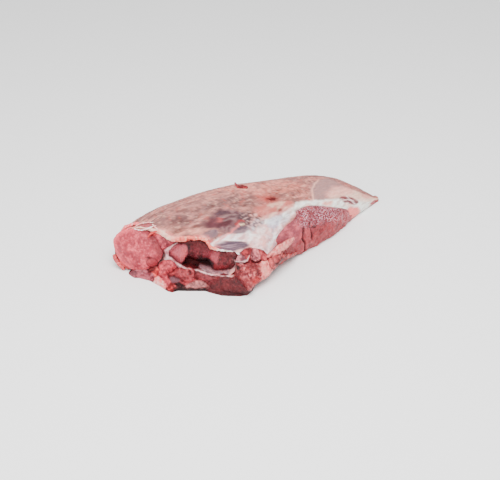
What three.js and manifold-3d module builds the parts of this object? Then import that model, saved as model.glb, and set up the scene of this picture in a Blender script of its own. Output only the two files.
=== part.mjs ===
// A raw, boneless beef top blade as it comes off the shoulder: a long slab that tapers to a thin flap.
// Fascia covers its top like a skin. The wide end is cut across, and there the round tender, the
// muscles on both sides of the pocket that held the blade bone, and the lower muscles stand out.
// It is one piece of meat, so it is one solid. Millimetres, +Z up, +X towards the thin end.
import * as THREE from "three";
import { mergeVertices } from "three/addons/utils/BufferGeometryUtils.js";
import Module from "manifold-3d";

const wasm = await Module();
wasm.setup();

const TAU = 2 * Math.PI;

// The slab, by ribs across its length: where the rib stands, its two sides, the height and place
// of its crown, and the height at which each side is widest.
const RIBS = [
  { x: -186, right: -92, left: 106, crown: 76, crownY: 50, rightZ: 40, leftZ: 36 },
  { x: -140, right: -106, left: 117, crown: 84, crownY: 50, rightZ: 32, leftZ: 36 },
  { x: -85, right: -103, left: 117, crown: 87, crownY: 44, rightZ: 24, leftZ: 36 },
  { x: -25, right: -95, left: 104, crown: 83, crownY: 34, rightZ: 18, leftZ: 32 },
  { x: 35, right: -93, left: 84, crown: 77, crownY: 20, rightZ: 16, leftZ: 28 },
  { x: 90, right: -90, left: 64, crown: 71, crownY: 6, rightZ: 13, leftZ: 23 },
  { x: 140, right: -79, left: 42, crown: 63, crownY: -8, rightZ: 9, leftZ: 18 },
  { x: 180, right: -75, left: 13, crown: 49, crownY: -22, rightZ: 6, leftZ: 12 },
  { x: 212, right: -73, left: -24, crown: 28, crownY: -44, rightZ: 4, leftZ: 6 },
  { x: 236, right: -71, left: -58, crown: 9, crownY: -64, rightZ: 3, leftZ: 3 },
];
const SLAB_AROUND = 48;
const SLAB_ALONG = 34;
const CAP_ROWS = 4;
const NEAR_CAP_BULGE = -30;
const FAR_CAP_BULGE = 6;
const CAP_POWER = 3.6;
const SIDE_POWER = 0.94;
const UNDERSIDE_POWER = 6;
const UNDERSIDE_CUT = 5;
const SWELL_HEIGHT = 1.6;

// The cut end stands on a line that leans from the left, where it reaches furthest out, to the
// right, and its face leans back as it rises.
const CUT_LEFT = new THREE.Vector3(-245, 90, 0);
const CUT_ALONG = new THREE.Vector3(0.43, -0.903, 0);
const CUT_OUT = new THREE.Vector3(-0.903, -0.43, 0);
const CUT_LEAN = 14;
const END_SLOPE = CUT_ALONG.x / CUT_ALONG.y;
const END_FADE = [-184, -10];
// Scallops of the fascia's rim over that end: place across, how far each hangs out, half-width.
const RIM_SCALLOPS = [
  { y: 4, out: 13, wide: 20 },
  { y: -28, out: -9, wide: 13 },
  { y: -54, out: 7, wide: 13 },
  { y: -82, out: -8, wide: 16 },
];

// Muscles cut across at that end. Each outline lies in the leaning face, first the way along it
// from the left, then the way up it. "out" is how far its rim stands out of the face, "dome" how
// far its middle stands further, and "deep" how far it runs back into the slab.
const MUSCLES = {
  tender: {
    outline: [[-9, 43], [1, 64], [20, 74], [42, 74], [62, 64], [77, 45], [73, 27], [54, 10], [30, 4], [5, 16]],
    out: 2, dome: 9, deep: 48,
  },
  tenderKnob: { outline: [[53, 25], [62, 33], [71, 27], [63, 17]], out: 5, dome: 6, deep: 24 },
  wedge: {
    outline: [[54, 70], [69, 73], [81, 68], [92, 60], [87, 50], [78, 40], [68, 44], [60, 55]],
    out: -11, dome: 6, deep: 40,
  },
  bladeUpper: {
    outline: [[83, 38], [90, 52], [108, 61], [121, 67], [143, 64], [158, 56], [151, 43], [128, 40], [112, 31], [98, 27]],
    out: -16, dome: 9, deep: 60,
  },
  bladeRight: {
    outline: [[155, 42], [158, 54], [170, 60], [188, 61], [201, 54], [200, 40], [178, 29], [164, 30]],
    out: -10, dome: 8, deep: 50,
  },
  shelf: {
    outline: [
      [80, 44], [88, 36], [101, 25], [132, 21], [158, 22], [186, 26], [214, 34], [226, 24], [222, 4], [190, -6],
      [150, -8], [110, -6], [84, 6],
    ],
    out: 3, dome: 1, deep: 60,
  },
  lowerLeft: {
    outline: [[77, 22], [84, 31], [96, 33], [106, 26], [104, 15], [96, 1], [84, -2], [74, 8]],
    out: 5, dome: 10, deep: 40,
  },
  lowerMiddle: {
    outline: [[99, 16], [107, 24], [122, 26], [138, 22], [143, 9], [133, 0], [118, 0], [100, 5]],
    out: 7, dome: 11, deep: 40,
  },
  lowerRight: {
    outline: [[134, 16], [147, 26], [185, 24], [206, 27], [229, 16], [228, 3], [210, -5], [172, -7], [148, -3]],
    out: 8, dome: 8, deep: 60,
  },
  hem: {
    outline: [[58, 6], [80, 12], [120, 13], [170, 14], [212, 12], [220, 2], [208, -8], [140, -12], [70, -10]],
    out: 8, dome: 4, deep: 60,
  },
  bottomSheet: { outline: [[98, 2], [112, 7], [140, 6], [166, 3], [172, -3], [130, -8], [106, -7]], out: 17, dome: 6, deep: 50 },
  redEnd: { outline: [[92, 4], [103, 8], [115, 5], [120, -4], [108, -11], [94, -8]], out: 31, dome: 6, deep: 44 },
  fatNub: { outline: [[66, 8], [77, 14], [90, 3], [88, -8], [72, -7]], out: 19, dome: 5, deep: 40 },
  bottomTail: { outline: [[16, 5], [36, 8], [58, 12], [70, 2], [62, -6], [34, -4]], out: 9, dome: 4, deep: 50 },
};
const MUSCLE_AROUND = 24;
const SMALL_MUSCLE_AROUND = 14;
const SMALL_MUSCLE_WIDTH = 30;
const MUSCLE_FACE_ROWS = 4;
const MUSCLE_SIDE_ROWS = 3;
const FACE_POWER = 2.6;
const BACK_SHARE = 0.8;

// Lobes elsewhere: centre, half-sizes along the lobe's own axes, its turn about Z, pitch about Y
// and roll about X in degrees, and its fullness, which is 2 for an ellipsoid.
const LOBES = {
  cornerMass: { at: [-108, -90, 23], half: [42, 16, 26], turn: 9, pitch: 0, roll: 12, full: 3 },
  leanKnob: { at: [28, -60, 55], half: [8, 6, 5], turn: 0, pitch: 0, roll: 40, full: 2 },
  topTag: { at: [-14, 52, 81], half: [7, 2.2, 2.5], turn: 60, pitch: 0, roll: 0, full: 2 },
  topScrap: { at: [-5, 42, 79], half: [8, 4, 3], turn: -20, pitch: 0, roll: 0, full: 2 },
  fatScrap: { at: [-78, -31, 70], half: [5, 3, 3], turn: -30, pitch: 0, roll: 0, full: 2 },
  leftTag: { at: [-236, 84, 8], half: [14, 6, 5], turn: -60, pitch: 0, roll: 0, full: 2 },
};
const LOBE_AROUND = 12;
const LOBE_ALONG = 8;
const FINE_LOBES = { cornerMass: 1.4 };

// Pads that lie on the slab and follow it: outline as [x, turn round the rib in degrees], and how
// far the flat top of the pad stands proud of the skin.
const PADS = {
  leanFace: {
    outline: [
      [-74, 160], [-46, 150], [-22, 144], [3, 139], [24, 134], [48, 134], [75, 141], [102, 150],
      [128, 159], [142, 171], [150, 186], [118, 194], [60, 194], [10, 192], [-14, 186], [-44, 172],
    ],
    lift: 4,
  },
  fatStrip: {
    outline: [[-128, 174], [-104, 167], [-69, 165], [-30, 164], [-12, 168], [-24, 175], [-60, 178], [-104, 179]],
    lift: 2.5,
  },
};
const PAD_AROUND = 40;
const PAD_FACE_ROWS = 5;
const PAD_BACK_ROWS = 2;
const PAD_SINK = 9;
const PAD_POWER = 7;

// Torn lumps along the lower right side, next to the cut end, set out by a fixed draw.
const LUMPS = 14;
const LUMP_FROM = [-142, -108];
const LUMP_TO = [-20, -94];
const LUMP_HEIGHT = 34;
const LUMP_HALF = [8, 14];
const FINE_LUMPS = 0.7;

// The pocket that the blade bone was drawn out of, and two splits in the lean face.
const CUTS = {
  pocket: { at: [-164, -24, 33], half: [34, 22, 7.5], turn: 25, pitch: 0, roll: 0, full: 2.6 },
  splitNear: { at: [17, -103, 22], half: [2, 9, 17], turn: 10, pitch: 0, roll: 40, full: 2 },
  splitFar: { at: [42, -100, 34], half: [1.6, 7, 13], turn: 4, pitch: 0, roll: 40, full: 2 },
};

const rad = (degrees) => (degrees * Math.PI) / 180;
const mix = (a, b, t) => a + (b - a) * t;
const ease = (a, b, x) => THREE.MathUtils.smoothstep(x, a, b);
const power = (value, exponent) => Math.sign(value) * Math.abs(value) ** exponent;

// Value of one rib measure at any x: a cubic through the ribs with central-difference slopes.
function along(measure, x) {
  const last = RIBS.length - 1;
  let i = 0;
  while (i < last - 1 && x > RIBS[i + 1].x) i += 1;
  const slope = (k) => {
    const before = RIBS[Math.max(k - 1, 0)];
    const after = RIBS[Math.min(k + 1, last)];
    return (after[measure] - before[measure]) / (after.x - before.x);
  };
  const span = RIBS[i + 1].x - RIBS[i].x;
  const t = (x - RIBS[i].x) / span;
  const level = mix(RIBS[i][measure], RIBS[i + 1][measure], t * t * (3 - 2 * t));
  return level + t * (1 - t) * span * ((1 - t) * slope(i) - t * slope(i + 1));
}

// Low swells of the surface, a sum of slanted sine waves between -1 and 1.
function swell(x, y, z) {
  return (
    0.4 * Math.sin(x / 23 + y / 41 + 0.7) +
    0.35 * Math.sin(y / 17 - x / 37 + z / 29 + 2.1) +
    0.25 * Math.sin(x / 13 + z / 15 - y / 31 + 4.2)
  );
}

// One closed surface from a grid of rows, with a single point at each end.
function closedGrid(rows, around, point) {
  const place = [];
  const index = [];
  const put = (p) => place.push(...p) / 3 - 1;
  const start = put(point(0, 0));
  for (let j = 1; j < rows; j += 1) {
    for (let i = 0; i < around; i += 1) put(point(j, i / around));
  }
  const end = put(point(rows, 0));
  const at = (j, i) => 1 + (j - 1) * around + (i % around);
  for (let i = 0; i < around; i += 1) {
    index.push(start, at(1, i + 1), at(1, i));
    for (let j = 1; j < rows - 1; j += 1) {
      index.push(at(j, i), at(j, i + 1), at(j + 1, i + 1));
      index.push(at(j, i), at(j + 1, i + 1), at(j + 1, i));
    }
    index.push(end, at(rows - 1, i), at(rows - 1, i + 1));
  }
  const geometry = new THREE.BufferGeometry();
  geometry.setAttribute("position", new THREE.Float32BufferAttribute(place, 3));
  geometry.setIndex(index);
  return geometry;
}

// Above its widest height a rib is a superellipse up to the crown. Below, it goes down to the
// board, where it is cut off flat.
function ribPoint(x, turn) {
  const [c, s] = [Math.cos(turn), Math.sin(turn)];
  const crownY = along("crownY", x);
  const side = along(c > 0 ? "left" : "right", x);
  const widest = mix(along("rightZ", x), along("leftZ", x), (c + 1) / 2);
  const fall = (widest + UNDERSIDE_CUT) * Math.abs(s) ** (2 / UNDERSIDE_POWER);
  const z = s > 0 ? mix(widest, along("crown", x), s) : Math.max(0, widest - fall);
  return [mix(crownY, side, Math.abs(c) ** SIDE_POWER), z];
}

// How far the cut end moves a rib along X: the lean of the end and its scallops.
function endShift(y) {
  let shift = END_SLOPE * y;
  for (const { y: middle, out, wide } of RIM_SCALLOPS) {
    shift -= out * Math.exp(-(((y - middle) / wide) ** 2));
  }
  return shift;
}

// A point of the slab, drawn in towards the middle of its rib by the scale and moved along X.
function slabPoint(ribX, turn, scale = 1, move = 0) {
  const [ribY, ribZ] = ribPoint(ribX, turn);
  const y = mix((along("left", ribX) + along("right", ribX)) / 2, ribY, scale);
  const z = mix(along("crown", ribX) / 2, ribZ, scale);
  const x = ribX + move + endShift(y) * (1 - ease(...END_FADE, ribX));
  return new THREE.Vector3(x, y, z + SWELL_HEIGHT * swell(x, y, z) * ease(2, 12, z));
}

// The slab runs from the near cap over the ribs to the far cap. A cap is the end rib drawn in
// towards its middle along a flattened dome.
function slab() {
  const rows = SLAB_ALONG + 2 * CAP_ROWS;
  return closedGrid(rows, SLAB_AROUND, (row, u) => {
    const near = Math.max(0, 1 - row / CAP_ROWS);
    const far = Math.max(0, (row - rows) / CAP_ROWS + 1);
    const dome = ((near || far) * Math.PI) / 2;
    const scale = Math.cos(dome) ** (2 / CAP_POWER);
    const bulge = Math.sin(dome) ** (2 / CAP_POWER);
    const station = THREE.MathUtils.clamp((row - CAP_ROWS) / SLAB_ALONG, 0, 1);
    const move = bulge * (near ? -NEAR_CAP_BULGE : far ? FAR_CAP_BULGE : 0);
    return slabPoint(mix(RIBS[0].x, RIBS.at(-1).x, station), TAU * u, scale, move);
  });
}

// A pad is its smooth outline on the slab, drawn in to a flat top and sunk into the slab behind.
function pad({ outline, lift }) {
  const ring = new THREE.CatmullRomCurve3(
    outline.map(([x, turn]) => new THREE.Vector3(x, rad(turn), 0)),
    true,
  );
  const middle = ring.getPoints(60).reduce((sum, p) => sum.addScaledVector(p, 1 / 61), new THREE.Vector3());
  return closedGrid(PAD_FACE_ROWS + PAD_BACK_ROWS, PAD_AROUND, (row, u) => {
    const face = Math.min(1, row / PAD_FACE_ROWS);
    const back = Math.max(0, (row - PAD_FACE_ROWS) / PAD_BACK_ROWS);
    const scale = back ? 1 - back : Math.sin((face * Math.PI) / 2);
    const { x, y: turn } = middle.clone().lerp(ring.getPoint(u), scale);
    const alongX = slabPoint(x + 1, turn).sub(slabPoint(x - 1, turn));
    const outward = slabPoint(x, turn + 0.02).sub(slabPoint(x, turn - 0.02)).cross(alongX).normalize();
    const height = (back ? -PAD_SINK : lift) * (1 - scale ** PAD_POWER);
    const p = slabPoint(x, turn).addScaledVector(outward, height);
    p.z = Math.max(0, p.z);
    return p;
  });
}

// A point of the leaning cut face, and how far out of it.
function onCut(way, up, out) {
  const lean = rad(CUT_LEAN);
  return CUT_LEFT.clone()
    .addScaledVector(CUT_ALONG, way)
    .addScaledVector(CUT_OUT, out * Math.cos(lean) - up * Math.sin(lean))
    .add(new THREE.Vector3(0, 0, up * Math.cos(lean) + out * Math.sin(lean)));
}

// A cut muscle is its smooth outline, drawn in to a domed face in front and run back into the
// slab behind, where it narrows.
function muscle({ outline, out, dome, deep }) {
  const ways = outline.map(([way]) => way);
  const small = Math.max(...ways) - Math.min(...ways) < SMALL_MUSCLE_WIDTH;
  const ring = new THREE.CatmullRomCurve3(
    outline.map(([way, up]) => new THREE.Vector3(way, up, 0)),
    true,
    "centripetal",
  );
  const middle = outline.reduce((sum, [way, up]) => sum.add(new THREE.Vector2(way, up)), new THREE.Vector2());
  middle.divideScalar(outline.length);
  const rows = MUSCLE_FACE_ROWS + MUSCLE_SIDE_ROWS + 1;
  return closedGrid(rows, small ? SMALL_MUSCLE_AROUND : MUSCLE_AROUND, (row, u) => {
    const rim = ring.getPoint(u);
    const face = Math.min(row / MUSCLE_FACE_ROWS, 1);
    const back = Math.max(0, (row - MUSCLE_FACE_ROWS) / (MUSCLE_SIDE_ROWS + 1));
    const scale = row === rows ? 0 : Math.sin((face * Math.PI) / 2) * mix(1, BACK_SHARE, back);
    const p = onCut(
      mix(middle.x, rim.x, scale),
      mix(middle.y, rim.y, scale),
      out + dome * (1 - Math.sin((face * Math.PI) / 2) ** FACE_POWER),
    );
    p.addScaledVector(CUT_OUT, -deep * Math.min(back * 1.1, 1));
    p.addScaledVector(CUT_OUT, 0.8 * swell(p.x * 2, p.y * 2, p.z * 2));
    return [p.x, p.y, Math.max(0, p.z)];
  });
}

// A lobe is a superellipsoid whose poles lie on its own X axis, rolled, turned and set in place.
function lobe({ at, half, turn, pitch, roll, full }, fine = 1) {
  const pose = new THREE.Matrix4().makeRotationFromEuler(
    new THREE.Euler(rad(roll), rad(pitch), rad(turn), "ZYX"),
  );
  const rows = Math.round(LOBE_ALONG * fine);
  return closedGrid(rows, Math.round(LOBE_AROUND * fine), (row, u) => {
    const [a, b] = [Math.PI * (row / rows - 0.5), TAU * u];
    const ring = Math.cos(a) ** (2 / full);
    const p = new THREE.Vector3(
      half[0] * power(Math.sin(a), 2 / full),
      half[1] * ring * power(Math.cos(b), 2 / full),
      half[2] * ring * power(Math.sin(b), 2 / full),
    ).applyMatrix4(pose);
    return [at[0] + p.x, at[1] + p.y, Math.max(0, at[2] + p.z)];
  });
}

// The lumps are small lobes, placed and sized by a fixed linear congruential draw.
function lumps() {
  let state = 7;
  const draw = () => {
    state = (state * 1103515245 + 12345) % 2147483648;
    return state / 2147483648;
  };
  return Array.from({ length: LUMPS }, (_, k) => {
    const share = (k + draw()) / LUMPS;
    const size = mix(...LUMP_HALF, draw());
    const z = LUMP_HEIGHT * draw() * (1 - 0.5 * share);
    const inward = 0.5 * z + 11 - 3 * draw();
    const at = [mix(LUMP_FROM[0], LUMP_TO[0], share), mix(LUMP_FROM[1], LUMP_TO[1], share) + inward, z];
    return { at, half: [size, size * 0.8, size * 0.7], turn: 180 * draw(), pitch: 0, roll: 60 * draw(), full: 2.2 };
  });
}

function solid(geometry) {
  const merged = mergeVertices(geometry, 1e-3);
  return new wasm.Manifold(
    new wasm.Mesh({
      numProp: 3,
      vertProperties: new Float32Array(merged.attributes.position.array),
      triVerts: new Uint32Array(merged.index.array),
    }),
  );
}

function geometryOf(manifold) {
  const mesh = manifold.getMesh();
  const geometry = new THREE.BufferGeometry();
  geometry.setAttribute("position", new THREE.BufferAttribute(mesh.vertProperties, 3));
  geometry.setIndex(new THREE.BufferAttribute(mesh.triVerts, 1));
  return geometry;
}

let meat = solid(slab());
for (const form of Object.values(MUSCLES)) meat = meat.add(solid(muscle(form)));
for (const [name, form] of Object.entries(LOBES)) meat = meat.add(solid(lobe(form, FINE_LOBES[name])));
for (const form of lumps()) meat = meat.add(solid(lobe(form, FINE_LUMPS)));
for (const form of Object.values(PADS)) meat = meat.add(solid(pad(form)));
for (const form of Object.values(CUTS)) meat = meat.subtract(solid(lobe(form)));

const red = new THREE.MeshStandardMaterial({ color: 0xa8484a, roughness: 0.45, metalness: 0 });
const blade = new THREE.Mesh(geometryOf(meat), red);
blade.name = "top_blade";

const group = new THREE.Group();
group.add(blade);

export default group;
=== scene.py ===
"""A raw boneless beef top blade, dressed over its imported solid.

Places are worked out in millimetres and put into the meshes in metres. +X runs towards the thin
end, +Y towards the side with the round tender, and z = 0 is the board.
"""

import bpy
import numpy as np
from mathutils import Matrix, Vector


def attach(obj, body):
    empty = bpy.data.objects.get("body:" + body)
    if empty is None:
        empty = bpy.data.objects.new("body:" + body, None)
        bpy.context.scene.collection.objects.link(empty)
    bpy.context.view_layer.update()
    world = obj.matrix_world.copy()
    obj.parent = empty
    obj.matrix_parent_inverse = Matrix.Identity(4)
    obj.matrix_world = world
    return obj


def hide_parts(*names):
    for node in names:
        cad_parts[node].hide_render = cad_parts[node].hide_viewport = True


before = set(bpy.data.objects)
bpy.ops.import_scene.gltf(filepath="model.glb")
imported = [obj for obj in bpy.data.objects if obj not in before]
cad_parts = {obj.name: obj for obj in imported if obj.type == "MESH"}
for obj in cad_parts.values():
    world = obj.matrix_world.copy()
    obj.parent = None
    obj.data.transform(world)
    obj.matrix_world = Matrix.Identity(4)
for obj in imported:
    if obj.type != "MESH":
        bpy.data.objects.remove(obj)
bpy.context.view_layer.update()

# The slab. The real one is two flat shoulder muscles under one sheet of fascia, a thin tough skin
# that is pale tan where it has dried, silver over tendon, and clear over bare muscle. It is one
# closed surface here: ribs across the length, and a hollow end where the cut muscles stand out.
TAU = 2 * np.pi
STATION, RIGHT, LEFT, CROWN, CROWN_Y, RIGHT_Z, LEFT_Z = np.array([
    [-186, -92, 106, 76, 50, 40, 36],
    [-140, -106, 117, 84, 50, 32, 36],
    [-85, -103, 117, 87, 44, 24, 36],
    [-25, -95, 104, 83, 34, 18, 32],
    [35, -93, 84, 77, 20, 16, 28],
    [90, -90, 64, 71, 6, 13, 23],
    [140, -79, 42, 63, -8, 9, 18],
    [180, -75, 13, 49, -22, 6, 12],
    [212, -73, -24, 28, -44, 4, 6],
    [236, -71, -58, 9, -64, 3, 3],
], float).T
SLAB_ROWS = 304
SLAB_AROUND = 290
SLAB_TURNS = ((0, 0.8, 1), (-4, 216, 356))
NEAR_CAP_ROWS = 22
FAR_CAP_ROWS = 10
NEAR_CAP_DEPTH = 46
FAR_CAP_BULGE = 6
CAP_POWER = 3.6
SIDE_POWER = 0.94
UNDERSIDE_POWER = 6
UNDERSIDE_CUT = 5
SWELL_HEIGHT = 1.6
END_SLOPE = 0.43 / -0.903
END_FADE = (-184, -10)
RIM_SCALLOPS = ((4, 13, 20), (-28, -9, 13), (-54, 7, 13), (-82, -8, 16))
MM_A_DEGREE = 1.6
LIGHT = 2.2
GLOSS = 0.05
BLUE_LIFT = 0.06


def ease(low, high, value):
    """0 below low, 1 above high, and the smoothstep 3t^2 - 2t^3 between them."""
    t = np.clip((value - low) / (high - low), 0, 1)
    return t * t * (3 - 2 * t)


def mix(a, b, share):
    """The value that lies at this share of the way from a to b."""
    return a + (b - a) * share


def along(measure, x):
    """One rib measure at any x: a cubic through the ribs with central-difference slopes."""
    order = np.arange(len(STATION))
    before = np.maximum(order - 1, 0)
    after = np.minimum(order + 1, len(STATION) - 1)
    slope = (measure[after] - measure[before]) / (STATION[after] - STATION[before])
    i = np.clip(np.searchsorted(STATION, x) - 1, 0, len(STATION) - 2)
    span = STATION[i + 1] - STATION[i]
    t = (x - STATION[i]) / span
    level = mix(measure[i], measure[i + 1], t * t * (3 - 2 * t))
    return level + t * (1 - t) * span * ((1 - t) * slope[i] - t * slope[i + 1])


def swell(place):
    """Low swells, a sum of three slanted sine waves between -1 and 1."""
    x, y, z = np.moveaxis(place, -1, 0)
    return (
        0.4 * np.sin(x / 23 + y / 41 + 0.7)
        + 0.35 * np.sin(y / 17 - x / 37 + z / 29 + 2.1)
        + 0.25 * np.sin(x / 13 + z / 15 - y / 31 + 4.2)
    )


def slab_point(x, turn, scale=1.0, move=0.0):
    """A point of the slab. Above its widest height a rib is a superellipse up to the crown, and
    below it the rib goes down to the board. The scale draws it in towards the rib's middle."""
    c, s = np.cos(turn), np.sin(turn)
    side = np.where(c > 0, along(LEFT, x), along(RIGHT, x))
    widest = mix(along(RIGHT_Z, x), along(LEFT_Z, x), (c + 1) / 2)
    fall = (widest + UNDERSIDE_CUT) * np.abs(s) ** (2 / UNDERSIDE_POWER)
    z = np.where(s > 0, mix(widest, along(CROWN, x), s), np.maximum(0, widest - fall))
    y = mix(along(CROWN_Y, x), side, np.abs(c) ** SIDE_POWER)
    y = mix((along(LEFT, x) + along(RIGHT, x)) / 2, y, scale)
    z = mix(along(CROWN, x) / 2, z, scale)
    shift = END_SLOPE * y
    for middle, out, wide in RIM_SCALLOPS:
        shift = shift - out * np.exp(-(((y - middle) / wide) ** 2))
    place = np.stack([x + move + shift * (1 - ease(*END_FADE, x)), y, z], axis=-1)
    place[..., 2] += SWELL_HEIGHT * swell(place) * ease(2, 12, z)
    return place


def noise(place, size, seed):
    """Value noise between -1 and 1: a scrambled number at each corner of a cubic lattice of this
    size, blended over the cell with the smoothstep of the place inside it."""
    spot = place / size + 17.3 * seed
    cell = np.floor(spot).astype(np.int64)
    f = spot - cell
    f = f * f * (3 - 2 * f)
    total = np.zeros(place.shape[:-1])
    for corner in np.ndindex(2, 2, 2):
        number = (cell + corner) @ np.array([73856093, 19349663, 83492791])
        number = (number ^ (number >> 13)) * 1274126177 % 2147483647
        number = (number ^ (number >> 15)) % 8191
        total += (number / 4095 - 1) * np.prod(np.where(corner, f, 1 - f), axis=-1)
    return total


def rough(place, size, seed, octaves=3):
    """A sum of noises, each half as large and half as high as the one before it."""
    return sum(noise(place, size / 2**k, seed + k) / 2**k for k in range(octaves))


def smooth_line(points, closed, steps=5):
    """A Catmull-Rom curve through the points: each span blends its four nearest points."""
    points = np.array(points, float)
    count = len(points)
    span = np.arange(count if closed else count - 1)
    pick = [
        np.mod(span + k, count) if closed else np.clip(span + k, 0, count - 1)
        for k in (-1, 0, 1, 2)
    ]
    a, b, c, d = (points[i][:, None] for i in pick)
    t = (np.arange(steps) / steps)[None, :, None]
    line = 0.5 * (
        2 * b + (c - a) * t + (2 * a - 5 * b + 4 * c - d) * t**2 + (3 * b - a - 3 * c + d) * t**3
    )
    line = line.reshape(-1, points.shape[1])
    return line if closed else np.concatenate([line, points[-1:]])


def to_line(p, line, closed):
    """Distance from each point to the nearest stretch of a line of straight pieces."""
    start = line if closed else line[:-1]
    end = np.roll(line, -1, axis=0) if closed else line[1:]
    run = end - start
    offset = p[:, None] - start
    share = np.clip((offset * run).sum(-1) / np.maximum((run**2).sum(-1), 1e-9), 0, 1)
    return np.linalg.norm(offset - share[..., None] * run, axis=-1).min(axis=1)


def depth_in(u, v, outline, reach):
    """Distance inside a smooth closed outline, negative outside it, as far out as the reach."""
    ring = smooth_line(outline, True)
    low, high = ring.min(axis=0) - reach, ring.max(axis=0) + reach
    near = np.flatnonzero((u > low[0]) & (u < high[0]) & (v > low[1]) & (v < high[1]))
    p = np.stack([u.flat[near], v.flat[near]], axis=-1)
    away = to_line(p, ring, True)
    following = np.roll(ring, -1, axis=0)
    pu, pv = p[:, :1], p[:, 1:]
    spans = (ring[:, 1] > pv) != (following[:, 1] > pv)
    rise = np.where(following[:, 1] == ring[:, 1], 1e-9, following[:, 1] - ring[:, 1])
    crosses = spans & (pu < ring[:, 0] + (following[:, 0] - ring[:, 0]) * (pv - ring[:, 1]) / rise)
    inside = crosses.sum(axis=1) % 2 == 1
    depth = np.full(u.shape, -float(reach))
    depth.flat[near] = np.maximum(np.where(inside, away, -away), -reach)
    return depth


def region(u, v, outline, soft):
    """1 well inside an outline and 0 outside it, a smoothstep as wide as the soft edge between."""
    return ease(-soft, soft, depth_in(u, v, outline, soft))


def stroke(u, v, points, wide):
    """A soft line along a smooth open curve: a bell across it of this half-width."""
    line = smooth_line(points, False)
    low, high = line.min(axis=0) - 3 * wide, line.max(axis=0) + 3 * wide
    near = np.flatnonzero((u > low[0]) & (u < high[0]) & (v > low[1]) & (v < high[1]))
    mask = np.zeros(u.shape)
    away = to_line(np.stack([u.flat[near], v.flat[near]], axis=-1), line, False)
    mask.flat[near] = np.exp(-((away / wide) ** 2))
    return mask


def colour(red, green, blue):
    """Reflectance that shows as this screen colour, 0 to 255, in the studio light: the picture's
    tone curve run backwards, 0.17 s^1.08 / (1.06 - s)^1.5, less the gloss, over the light. The
    light takes a little of the blue, so that much of red less green is put back first."""
    share = np.array([red, green, blue + BLUE_LIFT * (red - green)]) / 255
    shown = 0.17 * share**1.08 / (1.06 - share) ** 1.5
    return np.minimum(np.maximum(shown - GLOSS, 0.4 * shown) / LIGHT, 0.85)


def paint(tint, mask, red, green, blue):
    """Moves the tint towards a colour by the share that the mask gives."""
    tint += (colour(red, green, blue) - tint) * np.clip(mask, 0, 1)[..., None]


def blurred(values, times):
    """A grid of values, each averaged with its neighbours along both ways this many times over."""
    for _ in range(times):
        values = (np.roll(values, 1, axis=1) + values + np.roll(values, -1, axis=1)) / 3
        padded = np.pad(values, ((1, 1), (0, 0)), mode="edge")
        values = (padded[:-2] + values + padded[2:]) / 3
    return values


def closed_faces(rows, around):
    """Faces of a closed grid: a fan at each pole and quads between the rings of points."""
    i = np.arange(around)
    following = (i + 1) % around
    ring = 1 + around * np.arange(rows - 1)[:, None]
    a, b = (ring[:-1] + i).ravel(), (ring[:-1] + following).ravel()
    c, d = (ring[1:] + following).ravel(), (ring[1:] + i).ravel()
    last = 1 + around * (rows - 1)
    first_fan = np.stack([np.zeros(around, int), 1 + following, 1 + i], axis=-1)
    last_fan = np.stack([np.full(around, last), last - around + i, last - around + following], axis=-1)
    return first_fan.tolist() + np.stack([a, b, c, d], axis=-1).tolist() + last_fan.tolist()


def grid_normals(place):
    """Unit normals of a grid that closes round its second axis: the cross product of its steps."""
    down = np.gradient(place, axis=0)
    round_it = np.roll(place, -1, axis=1) - np.roll(place, 1, axis=1)
    normal = np.cross(round_it, down)
    return normal / np.maximum(np.linalg.norm(normal, axis=-1, keepdims=True), 1e-9)


def make_piece(name, place, faces, finish, tint, wet, glint_share=0.0):
    """Puts places in millimetres, and a colour, wetness and share of painted glints for each, into a
    mesh that rides with the body and stands for its solid."""
    flat = place.reshape(-1, 3)
    mesh = bpy.data.meshes.new(name)
    mesh.from_pydata((flat / 1000).tolist(), [], faces)
    rgba = np.ones((len(flat), 4))
    rgba[:, :3] = np.clip(np.broadcast_to(tint, place.shape).reshape(-1, 3), 0, 1)
    mesh.attributes.new("tint", "FLOAT_COLOR", "POINT").data.foreach_set("color", rgba.ravel())
    for label, value in (("wet", wet), ("glint_share", glint_share)):
        spread = np.ascontiguousarray(np.broadcast_to(value, place.shape[:-1]), float).ravel()
        mesh.attributes.new(label, "FLOAT", "POINT").data.foreach_set("value", np.clip(spread, 0, 1))
    mesh.polygons.foreach_set("use_smooth", np.ones(len(mesh.polygons), bool))
    mesh.materials.append(finish)
    mesh.update()
    piece = bpy.data.objects.new(name, mesh)
    bpy.context.scene.collection.objects.link(piece)
    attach(piece, "root")
    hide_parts("top_blade")
    return piece


def with_poles(grid):
    """Rows of a grid as a flat list with its first and last row drawn to one point each."""
    inner = grid[1:-1].reshape(-1, *grid.shape[2:])
    return np.concatenate([grid[:1, 0], inner, grid[-1:, 0]])


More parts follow.
